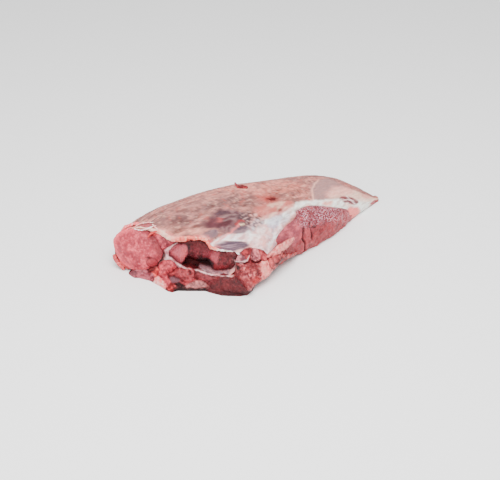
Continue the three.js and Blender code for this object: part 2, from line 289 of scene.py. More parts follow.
def tissue(name, dry, damp, grain, stretch, vary, bump, marbling, flesh):
    """A finish for raw tissue. The painted tint is varied by a fibrous noise and by pale marbling, and
    pale dots lie on it as painted glints where the glint share says so. Dampness lowers the roughness."""
    finish = bpy.data.materials.new(name)
    finish.use_nodes = True
    tree = finish.node_tree
    shader = tree.nodes["Principled BSDF"]

    def put(kind, links=(), **settings):
        made = tree.nodes.new(kind)
        for key, value in settings.items():
            if hasattr(made, key):
                setattr(made, key, value)
            else:
                made.inputs[key].default_value = value
        for socket, source in links:
            tree.links.new(source, made.inputs[socket])
        return made

    def ramp(value, low, high, first, last):
        made = put("ShaderNodeMapRange", [("Value", value)])
        made.inputs["From Min"].default_value = low
        made.inputs["From Max"].default_value = high
        made.inputs["To Min"].default_value = first
        made.inputs["To Max"].default_value = last
        return made.outputs[0]

    def laid_over(share, below, shade):
        made = put("ShaderNodeMix", data_type="RGBA")
        tree.links.new(share, made.inputs[0])
        tree.links.new(below, made.inputs[6])
        made.inputs[7].default_value = (*shade, 1)
        return made.outputs[2]

    def bumped(height, strength, distance, below=()):
        return put(
            "ShaderNodeBump",
            [("Height", height), *below],
            Strength=strength,
            Distance=distance,
        ).outputs[0]

    def noise_of(where, scale, detail, roughness=0.5):
        return put(
            "ShaderNodeTexNoise",
            [("Vector", where)],
            Scale=scale,
            Detail=detail,
            Roughness=roughness,
        ).outputs["Fac"]

    tint = put("ShaderNodeAttribute", attribute_name="tint").outputs["Color"]
    wet = put("ShaderNodeAttribute", attribute_name="wet").outputs["Fac"]
    glint_share = put("ShaderNodeAttribute", attribute_name="glint_share").outputs["Fac"]
    where = put("ShaderNodeTexCoord").outputs["Object"]
    turned = put("ShaderNodeMapping", [("Vector", where)], Scale=stretch).outputs[0]
    fibres = noise_of(turned, 1 / grain, 4.0, 0.6)
    fine = noise_of(where, 1400.0, 2.0)
    veins = noise_of(turned, 0.45 / grain, 5.0, 0.7)
    cells = put("ShaderNodeTexVoronoi", [("Vector", where)], Scale=450.0).outputs["Distance"]

    shade = ramp(fibres, 0.3, 0.7, 1 - vary, 1 + 0.6 * vary)
    shaded = put("ShaderNodeVectorMath", [(0, tint), (1, shade)], operation="MULTIPLY")
    fat = ramp(veins, 0.56, 0.7, 0, marbling)
    marbled = laid_over(fat, shaded.outputs[0], colour(226, 170, 165))
    # Painted glints: pale dots in the voronoi cells, as much as the glint share gives, with a small
    # bump.
    dots = ramp(cells, 0.5, 0.36, 0, 0.62)
    glints = put("ShaderNodeMath", [(0, dots), (1, glint_share)], operation="MULTIPLY").outputs[0]
    glinted = laid_over(glints, marbled, colour(232, 205, 208))
    tree.links.new(glinted, shader.inputs["Base Color"])

    gloss = ramp(wet, 0, 1, dry, damp)
    uneven = put("ShaderNodeMath", [(0, fibres), (2, gloss)], operation="MULTIPLY_ADD")
    uneven.inputs[1].default_value = 0.16
    tree.links.new(uneven.outputs[0], shader.inputs["Roughness"])

    fine_bump = bumped(fine, 0.25, 0.0004)
    fibre_bump = bumped(fibres, 0.8, bump, [("Normal", fine_bump)])
    glint_bump = bumped(glints, 0.6, 0.0005, [("Normal", fibre_bump)])
    tree.links.new(glint_bump, shader.inputs["Normal"])
    shader.inputs["Subsurface Weight"].default_value = flesh
    shader.inputs["Subsurface Radius"].default_value = (1.0, 0.3, 0.2)
    shader.inputs["Subsurface Scale"].default_value = 0.003
    shader.inputs["Specular IOR Level"].default_value = 0.22
    return finish


fascia = tissue("dried_fascia", 0.62, 0.3, 0.0035, (0.25, 1.0, 1.0), 0.2, 0.0006, 0.0, 0.12)

station = np.linspace(STATION[0], STATION[-1], SLAB_ROWS)
x = np.concatenate([
    np.full(NEAR_CAP_ROWS, STATION[0]),
    station,
    np.full(FAR_CAP_ROWS, STATION[-1]),
])[:, None]
near = np.concatenate([
    1 - np.arange(NEAR_CAP_ROWS) / NEAR_CAP_ROWS,
    np.zeros(SLAB_ROWS + FAR_CAP_ROWS),
])[:, None]
far = np.concatenate([
    np.zeros(NEAR_CAP_ROWS + SLAB_ROWS),
    (1 + np.arange(FAR_CAP_ROWS)) / FAR_CAP_ROWS,
])[:, None]
dome = (near + far) * np.pi / 2
draw_in = np.cos(dome).clip(0) ** (2 / CAP_POWER)
bulge = np.sin(dome) ** (2 / CAP_POWER) * np.where(near > 0, NEAR_CAP_DEPTH, FAR_CAP_BULGE)
turn = np.radians(np.interp(np.arange(SLAB_AROUND) / SLAB_AROUND, *SLAB_TURNS))[None, :]
x, turn, draw_in, bulge = np.broadcast_arrays(x, turn, draw_in, bulge)
skin = slab_point(x, turn, draw_in, bulge)
skin_out = grid_normals(skin)
in_cap = near[:, 0] > 0

# On the skin a place is named by its rib, u, and by the turn round the rib, v, both in millimetres.
ragged = np.stack([noise(skin, 9, 1), noise(skin, 9, 2)])
ragged = ragged + 0.5 * np.stack([noise(skin, 4, 3), noise(skin, 4, 4)])
u = x + 1.6 * ragged[0]
v = np.degrees(turn) * MM_A_DEGREE + 1.6 * ragged[1]


def on_skin(outline):
    """An outline given as rib and turn in degrees, with the turn brought to millimetres."""
    return np.array(outline, float) * (1, MM_A_DEGREE)


def skin_patch(outline, soft):
    """The region inside an outline on the skin, for the u and v of the piece in hand."""
    return region(u, v, on_skin(outline), soft)


def skin_line(points, wide):
    """The stroke along a line on the skin, for the u and v of the piece in hand."""
    return stroke(u, v, on_skin(points), wide)


def streaks(size, seed, lean=0.0):
    """Fine streaks along the skin that lean this far round the slab for each millimetre along it:
    noise on a slanting plane, on which a step along them counts a quarter of a step across."""
    along_them = (u + lean * v) / np.hypot(1, lean)
    across_them = (v - lean * u) / np.hypot(1, lean)
    slanting = np.outer(along_them, (0.21, -0.08, 0.12)) + np.outer(across_them, (0.42, 0.70, 0.57))
    return rough(slanting.reshape(*u.shape, 3), size, seed)


tint = np.broadcast_to(colour(190, 150, 144), skin.shape).copy()
wet = np.full(x.shape, 0.15)
long_streaks, fine_streaks = streaks(10, 19), streaks(4.2, 23)
relief = 0.8 * rough(skin * (0.35, 1, 1), 12, 5) + 0.3 * fine_streaks + 0.2 * rough(skin, 3.2, 9, 2)

for strength, values, red, green, blue in (
    (0.7, rough(skin * (0.4, 1, 1), 38, 11), 176, 138, 133),
    (0.6, rough(skin * (0.5, 1, 1), 30, 15), 206, 164, 154),
):
    paint(tint, strength * ease(-0.1, 0.8, values), red, green, blue)
for patch, strength, red, green, blue in (
    ([[-60, 70], [40, 66], [80, 84], [60, 100], [0, 100], [-50, 88]], 0.6, 222, 186, 172),
    ([[-20, 98], [40, 92], [80, 96], [60, 112], [0, 114]], 0.5, 218, 172, 152),
    ([[-176, 76], [-120, 78], [-80, 86], [-90, 100], [-150, 104], [-180, 94]], 0.5, 180, 146, 140),
    (
        [[-150, 88], [-124, 84], [-122, 96], [-140, 106], [-168, 110], [-176, 102], [-170, 92]],
        0.65, 164, 124, 122,
    ),
    ([[-136, 90], [-126, 93], [-140, 102], [-157, 100]], 0.55, 146, 116, 118),
    ([[-96, 94], [-57, 94], [-20, 100], [-39, 110], [-74, 106], [-100, 100]], 0.7, 162, 132, 128),
    ([[-184, 96], [-164, 100], [-150, 112], [-160, 122], [-184, 124]], 0.6, 222, 186, 170),
    ([[-60, 112], [10, 114], [60, 112], [70, 122], [0, 124], [-60, 122]], 0.4, 206, 170, 154),
    ([[20, 100], [70, 96], [94, 104], [70, 122], [30, 118]], 0.6, 216, 168, 150),
    ([[-14, 115], [14, 115], [36, 120], [26, 126], [-8, 123]], 0.6, 176, 146, 142),
):
    paint(tint, strength * skin_patch(patch, 14), red, green, blue)
for strength, low, high, values, red, green, blue in (
    (0.5, 0.0, 0.8, long_streaks, 164, 130, 125),
    (0.5, 0.0, 0.8, -long_streaks, 212, 178, 168),
    (0.45, 0.0, 0.6, fine_streaks, 152, 118, 113),
    (0.4, 0.0, 0.6, -fine_streaks, 218, 186, 176),
    (0.55, 0.3, 0.8, rough(skin, 6, 27), 206, 138, 122),
    (0.6, 0.35, 0.8, rough(skin, 4, 31), 130, 98, 96),
    (0.4, 0.3, 0.8, rough(skin, 3.4, 35), 230, 202, 190),
    (0.5, 0.2, 0.8, rough(skin, 9, 39), 168, 132, 130),
):
    paint(tint, strength * ease(low, high, values), red, green, blue)

# Below the skin the slab's flanks and underside are trimmed muscle.
flank = ease(-6, 6, v - 176 * MM_A_DEGREE) * (1 - ease(-6, 6, v - 356 * MM_A_DEGREE)) + 0 * v
paint(tint, flank, 168, 78, 80)
paint(tint, flank * ease(0.1, 0.7, rough(skin, 12, 31)), 205, 130, 124)

silver = skin_patch([
    [-190, 133], [-158, 129], [-134, 130], [-106, 131], [-69, 128],
    [-41, 128], [-14, 130], [7, 131], [20, 136],
    [0, 141], [-27, 146], [-60, 155], [-81, 161], [-107, 167],
    [-135, 170], [-150, 164], [-168, 158], [-192, 158],
], 4)
band = skin_patch([
    [-70, 133], [-34, 131], [5, 128], [46, 127], [84, 130],
    [120, 138], [160, 148], [200, 152], [226, 156],
    [226, 176], [196, 184], [160, 186], [140, 176], [122, 156],
    [78, 140], [46, 134], [26, 133], [2, 137], [-30, 142],
], 4)
white = np.maximum(silver, band)
silver_streaks = streaks(6, 49, -0.22)
thin_streaks = streaks(2.8, 45, -0.22)
paint(tint, 0.95 * silver, 222, 206, 204)
paint(tint, 0.95 * band, 255, 234, 220)
paint(tint, 0.6 * silver * ease(0.0, 0.8, rough(skin * (1, 1, 1.5), 10, 41)), 190, 172, 174)
paint(tint, 0.7 * silver * ease(0.0, 0.6, silver_streaks), 188, 176, 184)
paint(tint, 0.7 * silver * ease(0.0, 0.6, -silver_streaks), 248, 238, 234)
paint(tint, 0.5 * white * ease(0.0, 0.6, thin_streaks), 206, 178, 176)
paint(tint, 0.5 * white * ease(0.0, 0.6, -thin_streaks), 254, 240, 230)
paint(tint, 0.5 * white * ease(0.2, 0.8, rough(skin * (0.6, 1, 1), 12, 55)), 234, 196, 186)
for patch, strength, red, green, blue in (
    ([[-36, 130], [-12, 130], [-18, 139], [-50, 144], [-63, 139]], 0.6, 204, 204, 212),
    (
        [[-182, 150], [-150, 146], [-110, 140], [-70, 136], [-80, 146], [-120, 156], [-170, 160]],
        0.35, 236, 196, 188,
    ),
):
    paint(tint, strength * skin_patch(patch, 5), red, green, blue)
upper_silver = skin_patch([
    [-66, 124], [-44, 117], [-10, 116], [30, 121], [26, 129], [-8, 132], [-46, 132],
], 4)
paint(tint, 0.8 * upper_silver, 214, 170, 158)
paint(tint, 0.6 * upper_silver * ease(0.1, 0.6, streaks(5, 57, -0.2)), 200, 130, 118)
paint(tint, 0.5 * upper_silver * ease(0.1, 0.6, -streaks(5, 57, -0.2)), 240, 214, 202)
wet = mix(wet, 0.75, white)

window = skin_patch([
    [-150, 113], [-125, 109], [-108, 107], [-92, 104], [-83, 107],
    [-77, 112], [-75, 118], [-74, 124], [-89, 129],
    [-106, 129], [-121, 129], [-136, 128], [-147, 123], [-152, 118],
], 4)
window_streaks = streaks(4.5, 47, -0.1)
paint(tint, 0.9 * window, 144, 108, 113)
paint(tint, 0.7 * window * ease(0, 0.6, window_streaks), 112, 80, 88)
paint(tint, 0.6 * window * ease(0.1, 0.6, -window_streaks), 190, 160, 156)
window_red = skin_patch(
    [[-145, 113], [-124, 110], [-112, 114], [-116, 120], [-139, 121], [-149, 117]],
    3,
)
paint(tint, 0.75 * window_red, 140, 82, 88)
paint(tint, 0.5 * window_red * ease(0, 0.5, window_streaks), 118, 64, 72)
paint(tint, 0.6 * skin_patch([[-106, 108], [-93, 106], [-86, 110], [-98, 113]], 2), 116, 92, 100)
paint(
    tint,
    0.5 * skin_patch([[-96, 113], [-83, 115], [-76, 121], [-86, 123], [-103, 118]], 3),
    124, 100, 104,
)
paint(tint, 0.6 * skin_line([[-111, 113], [-99, 113], [-87, 115]], 1.5), 196, 172, 168)
paint(tint, 0.5 * skin_line([[-124, 116], [-113, 117], [-103, 119]], 1.3), 184, 164, 162)
paint(tint, 0.8 * skin_line([[-129, 115], [-120, 114], [-113, 113]], 1.3), 198, 122, 118)
for patch, strength in (
    ([[-174, 119], [-162, 117], [-154, 120], [-162, 125], [-176, 125]], 0.9),
    ([[-134, 127], [-116, 125.5], [-99, 129], [-98, 134], [-120, 134], [-134, 132]], 0.85),
):
    patch = skin_patch(patch, 3)
    paint(tint, strength * patch, 164, 142, 148)
    paint(tint, 0.7 * patch * ease(0, 0.5, window_streaks), 128, 108, 120)
mottle = skin_patch([[-90, 120], [-74, 117], [-56, 119], [-50, 127], [-62, 133], [-88, 135]], 5)
paint(tint, 0.8 * mottle * ease(-0.3, 0.5, rough(skin, 5, 51)), 146, 126, 126)
paint(tint, 0.7 * mottle * ease(0.0, 0.5, noise(skin, 3, 52)), 112, 90, 92)
paint(tint, 0.7 * mottle * ease(0.1, 0.5, -noise(skin, 3, 52)), 216, 196, 190)
lilac = skin_patch([
    [-182, 137], [-172, 133], [-160, 134], [-156, 140],
    [-158, 148], [-170, 152], [-183, 148], [-186, 142],
], 3)
lilac_streaks = streaks(3.2, 53, 1.23)
paint(tint, 0.95 * lilac, 148, 122, 134)
paint(tint, 0.8 * lilac * ease(-0.1, 0.5, lilac_streaks), 122, 98, 114)
paint(tint, 0.6 * lilac * ease(0.15, 0.6, -lilac_streaks), 194, 172, 178)
paint(tint, 0.8 * skin_line([[-184, 134], [-172, 130], [-158, 131], [-152, 140]], 1.8), 236, 226, 222)
vein = skin_line([[-172, 131], [-160, 130], [-137, 128], [-112, 125], [-106, 124]], 1.4)
paint(tint, 0.85 * vein, 222, 162, 158)
paint(tint, 0.8 * skin_line([[-114, 123], [-101, 122], [-92, 124]], 1.4), 196, 92, 88)
paint(tint, 0.9 * skin_line([[-106, 125], [-97, 126.5]], 1.7), 236, 212, 194)

# The clear film over the thin end shows its muscle, and a raised line marks where it starts.
film = skin_patch([
    [76, 127], [89, 115], [108, 105], [129, 99], [157, 97],
    [164, 112], [178, 129], [150, 136], [118, 134], [91, 131],
], 5)
paint(tint, 0.85 * film, 194, 170, 166)
pale_end = skin_patch([
    [110, 132], [140, 122], [172, 126], [200, 134], [226, 138],
    [240, 140], [240, 164], [190, 160], [140, 142],
], 7)
paint(tint, 0.8 * pale_end, 236, 212, 202)
paint(tint, 0.4 * pale_end * ease(0.1, 0.6, fine_streaks), 212, 176, 168)
pink_middle = skin_patch([
    [104, 130], [124, 122], [151, 117], [171, 122], [180, 135], [153, 139], [127, 136],
], 7)
paint(tint, 0.6 * pink_middle, 222, 190, 182)
border = skin_line([[132, 98], [118, 103], [106, 108], [94, 113], [86, 118], [78, 124], [74, 129]], 1.6)
paint(tint, 0.8 * border, 226, 202, 192)
bare = skin_patch([
    [136, 142], [146, 139], [156, 143], [168, 148], [178, 157],
    [172, 162], [160, 161], [150, 155], [140, 151],
], 2.5)
paint(tint, 0.8 * bare, 186, 122, 128)
for slit in (
    [[134, 141], [144, 142], [156, 146], [168, 150]],
    [[140, 150], [150, 151], [162, 156], [176, 160]],
    [[146, 144], [154, 150], [160, 158]],
    [[160, 147], [168, 154], [176, 158]],
):
    paint(tint, 0.85 * skin_line(slit, 1.8), 146, 70, 82)
    relief -= 0.8 * skin_line(slit, 1.8)
for thread in (
    [[140, 146], [152, 148], [166, 154]],
    [[152, 141], [160, 150], [166, 160]],
):
    paint(tint, 0.8 * skin_line(thread, 1.3), 240, 216, 214)
paint(
    tint,
    0.85 * skin_patch([[130, 168], [146, 163], [171, 169], [174, 181], [156, 189], [142, 182]], 6),
    226, 150, 140,
)
paint(tint, 0.6 * skin_patch([[84, 138], [95, 135], [112, 140], [96, 144]], 4), 226, 172, 152)
paint(
    tint,
    0.9 * skin_patch([[212, 176], [218, 167], [228, 160], [232, 172], [222, 182]], 2),
    196, 112, 116,
)
paint(tint, 0.5 * skin_patch([[196, 138], [212, 136], [216, 148], [200, 150]], 5), 214, 160, 160)

# The rim of the fascia at the cut end is thick and creamy, and torn pink over the pocket.
to_rim = x - STATION[0] + 1.5 * ragged[0]
round_rim = np.degrees(turn)
cream = (1 - ease(2, 13, to_rim)) * ease(84, 96, round_rim) * (1 - ease(122, 132, round_rim))
paint(tint, 0.8 * cream, 228, 182, 176)
paint(tint, 0.6 * cream * ease(0.1, 0.7, rough(skin, 6, 59)), 246, 212, 206)
torn = (1 - ease(4, 17, to_rim)) * ease(112, 118, round_rim) * (1 - ease(134, 140, round_rim))
paint(tint, torn * ease(-0.5, 0.3, rough(skin, 5, 61)), 208, 128, 124)
paint(tint, 0.6 * torn * ease(0.2, 0.7, rough(skin, 3, 65)), 238, 186, 178)
edge = 1 - ease(0.5, 3.0, to_rim)
paint(
    tint,
    0.7 * edge * ease(60, 70, round_rim) * (1 - ease(150, 158, round_rim)),
    236, 214, 202,
)
loop = skin_patch([[-189, 83], [-181, 72], [-171, 74], [-169, 84], [-179, 90], [-189, 88]], 2)
paint(tint, 0.9 * loop, 196, 130, 133)

# The wound on the top, with its halo, and the dark spots and creases of the dry skin.
here = np.stack([u - 5, (v - 111.5 * MM_A_DEGREE) * 1.5], axis=-1)
wound = np.exp(-((np.linalg.norm(here * (0.85, 1), axis=-1) / 7.5) ** 2))
wound = wound * (0.8 + 0.5 * noise(skin, 3, 58))
halo = np.exp(-((np.linalg.norm(here + (5, 1), axis=-1) / 16) ** 2))
paint(tint, 0.85 * halo, 206, 122, 108)
paint(tint, 1.8 * wound, 134, 26, 24)
relief -= 2.2 * wound
for rib, degrees, size, depth in (
    (-124, 91, 3.0, 0.7), (-115, 96, 3.4, 0.5), (-52, 110, 3.0, 0.7), (-166, 105, 3.6, 0.6),
    (-5, 128, 3.0, 0.8), (-100, 84, 2.6, 0.5), (-132, 86, 2.6, 0.5), (-158, 97, 2.8, 0.5),
    (-70, 98, 2.6, 0.5), (-176, 112, 2.8, 0.5), (-145, 98, 3.0, 0.7), (-147, 110, 3.2, 0.7),
    (26, 107, 2.4, 0.6), (-40, 114, 3.0, 0.5), (20, 96, 2.2, 0.4),
):
    spot = np.exp(-(((u - rib) / (1.8 * size)) ** 2) - ((v - degrees * MM_A_DEGREE) / size) ** 2)
    paint(tint, depth * spot, 124, 76, 70)
# The creases are dented and painted darker, as painted shade in them.
for crease in (
    [[34, 83], [35, 88], [34, 93]],
    [[41, 97], [52, 98], [61, 101], [66, 107], [62, 116]],
    [[28, 100], [36, 103], [41, 103]],
    [[-60, 104], [-40, 108], [-10, 106]],
    [[-150, 100], [-120, 103], [-90, 100]],
    [[20, 120], [50, 121], [66, 124]],
):
    relief -= 0.5 * skin_line(crease, 1.3)
    paint(tint, 0.6 * skin_line(crease, 1.2), 134, 98, 90)

relief += 8 * np.exp(-(((u - 162) / 44) ** 2) - ((v - 194 * MM_A_DEGREE) / 30) ** 2)
relief += 0.9 * vein + 0.9 * border - 0.9 * window + 0.5 * lilac
relief += 1.6 * flank * rough(skin, 9, 71) * ease(1, 8, skin[..., 2])
relief = relief * ease(0, 6, skin[..., 2])
wet = mix(wet, 0.65, np.maximum(window, flank))

# The hollow behind the rim is raw, dark muscle.
cap_tint = np.broadcast_to(colour(112, 34, 40), skin.shape).copy()
paint(cap_tint, ease(0.1, 0.7, rough(skin, 10, 81)), 84, 22, 30)
tint = np.where(in_cap[:, None, None], cap_tint, tint)
wet = np.where(in_cap[:, None], 0.8, wet)
relief = np.where(in_cap[:, None], 0, relief)
skin = skin + relief[..., None] * skin_out
skin[..., 2] = np.maximum(skin[..., 2], 0)
make_piece(
    "slab",
    with_poles(skin),
    closed_faces(len(skin) - 1, SLAB_AROUND),
    fascia,
    with_poles(tint),
    with_poles(wet),
)

# The cut end. The knife went across the muscles here and the blade bone came out, so the real end
# is a wall of finely grained lobes in white membrane round a deep pocket. One sheet stands for it:
# how far it stands out of the leaning cut, over the place across and up as the pocket is looked into.
CUT_LEFT = np.array([-245.0, 90.0, 0.0])
CUT_ALONG = np.array([0.43, -0.903, 0.0])
CUT_OUT = np.array([-0.903, -0.43, 0.0])
CUT_LEAN = np.radians(14)
UPRIGHT = np.array([0.0, 0.0, 1.0])
END_MIDDLE = np.array([-190.0, -6.0, 35.0])
END_AZIMUTH = np.radians(-41.6)
END_ELEVATION = np.radians(31)
END_DEEP = -30
END_COLUMNS = 390
END_LEVELS = 210
END_BACK_LEVELS = 9
END_HOLLOW = 50
SHELF_SLOPE = 1.95
FOOT_SLOPE = 1.3

# Each lobe: outline across and up, where its edge stands, how far it domes out, and over what
# width it rounds off; then its colour, the colour of its shaded parts and of its pale grain.
LOBES = (
    (
        [[-86, -14], [-60, -12], [-44, -4], [-34, -8], [-8, -22],
         [40, -28], [84, -26], [104, -50], [104, -66],
         [40, -58], [-14, -58], [-60, -40], [-90, -28]],
        -3, 4, 6, (122, 46, 50), (92, 28, 32), (160, 80, 84),
    ),
    (
        [[-4, 29], [-17, 25], [-29, 19], [-33, 11], [-37, 3], [-41, -6], [-29, -4], [-19, -1],
         [-11, -9], [2, -16], [22, -20], [35, -23], [37, -19], [13, -15], [-1, -9], [-12, -1],
         [-20, 8], [-15, 15], [-2, 23]],
        -8, 4, 4, (240, 210, 208), (204, 156, 160), (248, 226, 224),
    ),
    (
        [[-56, 44], [-42, 52], [-30, 50], [-20, 41], [-8, 31], [-11, 26], [-21, 20], [-29, 16],
         [-35, 10], [-39, 13], [-43, 28]],
        -6, 7, 9, (206, 130, 136), (176, 94, 102), (224, 150, 156),
    ),
    (
        [[-20, 11], [-13, 20], [-3, 28], [8, 34], [19, 36], [30, 34], [41, 27], [52, 16],
         [49, 6], [42, -1], [29, -1], [17, 3], [7, 5], [4, -1], [0, -8], [-9, -1]],
        -15, 6, 9, (128, 48, 56), (100, 32, 40), (160, 78, 86),
    ),
    (
        [[42, 5], [49, 14], [60, 14], [77, 13], [86, 8], [89, -2], [87, -11], [77, -17],
         [63, -18], [52, -18], [46, -8]],
        -11, 7, 8, (130, 56, 62), (104, 38, 44), (158, 78, 84),
    ),
    (
        [[-40, -17], [-37, -8], [-30, -2], [-20, -1], [-12, -4], [-8, -12], [-14, -17],
         [-21, -23], [-23, -29], [-18, -38], [-17, -47], [-25, -44], [-33, -37], [-39, -27]],
        4, 9, 9, (200, 114, 119), (174, 86, 92), (222, 142, 146),
    ),
    (
        [[-23, -24], [-14, -18], [-6, -14], [5, -14], [13, -13], [20, -18], [23, -28],
         [20, -37], [12, -43], [2, -41], [-6, -35], [-13, -28]],
        6, 8, 8, (182, 98, 100), (150, 66, 70), (206, 124, 126),
    ),
    (
        [[19, -21], [28, -18], [38, -22], [48, -27], [58, -32], [46, -41], [38, -47], [28, -41],
         [22, -34]],
        4, 6, 7, (148, 68, 73), (120, 48, 53), (180, 98, 101),
    ),
    (
        [[35, -46], [45, -36], [55, -30], [65, -27], [78, -29], [84, -28], [91, -35], [99, -44],
         [106, -52], [100, -62], [77, -63], [55, -59], [40, -54]],
        6, 8, 10, (138, 63, 68), (120, 49, 55), (154, 76, 80),
    ),
    (
        [[-23, -43], [-18, -36], [-7, -39], [-4, -47], [-9, -53], [-19, -55], [-24, -50]],
        18, 8, 6, (176, 60, 62), (112, 22, 24), (214, 116, 114),
    ),
    (
        [[-1, -46], [9, -40], [21, -35], [32, -37], [42, -44], [34, -49], [18, -47], [2, -49]],
        12, 4, 4, (190, 144, 140), (160, 118, 114), (214, 172, 168),
    ),
    (
        [[-52, -19], [-44, -20], [-36, -29], [-27, -42], [-32, -48], [-46, -43], [-55, -31]],
        8, 5, 5, (238, 190, 184), (222, 158, 154), (248, 212, 206),
    ),
    (
        [[-53, -15], [-42, -8], [-37, -16], [-41, -26], [-49, -27]],
        2, 3, 4, (206, 100, 96), (150, 40, 40), (236, 150, 140),
    ),
    (
        [[-86, -19], [-74, -13], [-57, -15], [-46, -24], [-48, -35], [-66, -31], [-82, -26]],
        2, 4, 4, (178, 110, 116), (150, 80, 86), (204, 148, 154),
    ),
)
END_TOP = np.array([
    [-87, -18], [-80, -10], [-55, -11], [-49, 55], [-33, 55], [-20, 48], [-8, 37], [5, 34], [15, 38],
    [31, 37], [46, 29], [57, 19], [72, 16], [86, 14], [92, 5], [110, -18],
])
END_FOOT = np.array([
    [-87, -21], [-78, -27], [-69, -28], [-52, -33], [-36, -42], [-24, -50], [-17, -52], [-8, -50],
    [11, -51], [35, -52], [47, -56], [61, -60], [89, -62], [100, -61], [109, -55],
])
SHELF_EDGE = np.array([
    [20, -19], [28, -21], [39, -24], [50, -27], [66, -29], [75, -28], [81, -22], [85, -17],
])

end_across = np.array([np.cos(END_AZIMUTH), np.sin(END_AZIMUTH), 0])
end_up = np.array([
    -np.sin(END_ELEVATION) * np.sin(END_AZIMUTH),
    np.sin(END_ELEVATION) * np.cos(END_AZIMUTH),
    np.cos(END_ELEVATION),
])
end_towards = np.cross(end_across, end_up)
cut_normal = np.cos(CUT_LEAN) * CUT_OUT + np.sin(CUT_LEAN) * UPRIGHT

across = np.linspace(END_TOP[0, 0], END_TOP[-1, 0], END_COLUMNS)[:, None]
low = np.interp(across, *END_FOOT.T)
up = mix(np.interp(across, *END_TOP.T), low, np.linspace(0, 1, END_LEVELS))
across = across + 0 * up
drift = END_MIDDLE + across[..., None] * end_across + up[..., None] * end_up
to_cut = ((drift - END_MIDDLE) @ cut_normal) / (end_towards @ cut_normal)
drift = drift - to_cut[..., None] * end_towards
across_in = across + 1.0 * noise(drift, 7, 101) + 0.6 * noise(drift, 3, 102)
up_in = up + 1.0 * noise(drift, 7, 103) + 0.6 * noise(drift, 3, 104)


def lay_lobes(lobes, across, up, place, out, tint):
    """Lays lobes over a sheet. A lobe rises over its width from its edge to its dome and falls off
    steeply outside its outline. Later lobes are painted over the ones before them."""
    grain = rough(place, 9, 105)
    fine_grain = rough(place, 3.6, 109, 2)
    for outline, edge, dome, width, main, dark, pale in lobes:
        depth = depth_in(across, up, outline, 12)
        rounding = 1 - (1 - np.clip(depth / width, 0, 1)) ** 2
        lobe = edge + dome * rounding + 4.5 * np.minimum(depth, 0)
        above = ease(-1.4, 0.4, depth)
        out = np.maximum(out, lobe)
        shade = np.broadcast_to(colour(*main), tint.shape).copy()
        paint(shade, ease(0.1, 0.8, grain), *dark)
        paint(shade, 0.7 * ease(0.1, 0.8, -grain), *pale)
        paint(shade, 0.6 * ease(0.05, 0.6, fine_grain), *pale)
        paint(shade, 0.6 * ease(0.1, 0.6, -fine_grain), *dark)
        # Painted shade: a lobe darkens towards its outline and beyond it, where it falls away into the
        # creases.
        paint(shade, 0.8 - 0.8 * ease(-1.0, 2.0, depth), *dark)
        tint += (shade - tint) * above[..., None]
    return out


out = np.full(up.shape, float(END_DEEP))
tint = np.broadcast_to(colour(120, 34, 38), (*up.shape, 3)).copy()
out = lay_lobes(LOBES, across_in, up_in, drift, out, tint)
out = np.maximum(out, -drift[:, -1:, 2] / end_towards[2] - FOOT_SLOPE * (up - low))

# The silver shelf under the pocket: its top is level and its front edge is white.
edge_up = np.interp(across, *SHELF_EDGE.T)
behind = up_in - edge_up
shelf_out = 4 - SHELF_SLOPE * np.maximum(behind, 0) + 4.5 * np.minimum(behind, 0)
shelf_out = shelf_out - 50 * (1 - ease(18, 30, across)) - 50 * ease(86, 92, across)
on_shelf = ease(-0.8, 0.8, shelf_out - out) * ease(-2.2, -0.6, behind)
out = np.maximum(out, shelf_out)
shade = np.broadcast_to(colour(180, 148, 152), tint.shape).copy()
paint(shade, ease(0.0, 0.7, rough(drift * (1, 1, 2), 5, 113)), 206, 172, 172)
# Painted shade: the shelf darkens where it runs back into the pocket under the lobes.
paint(shade, 0.8 * ease(9, 15, behind), 110, 50, 54)
paint(shade, 1 - ease(0.5, 2.2, behind), 222, 182, 180)
tint += (shade - tint) * on_shelf[..., None]
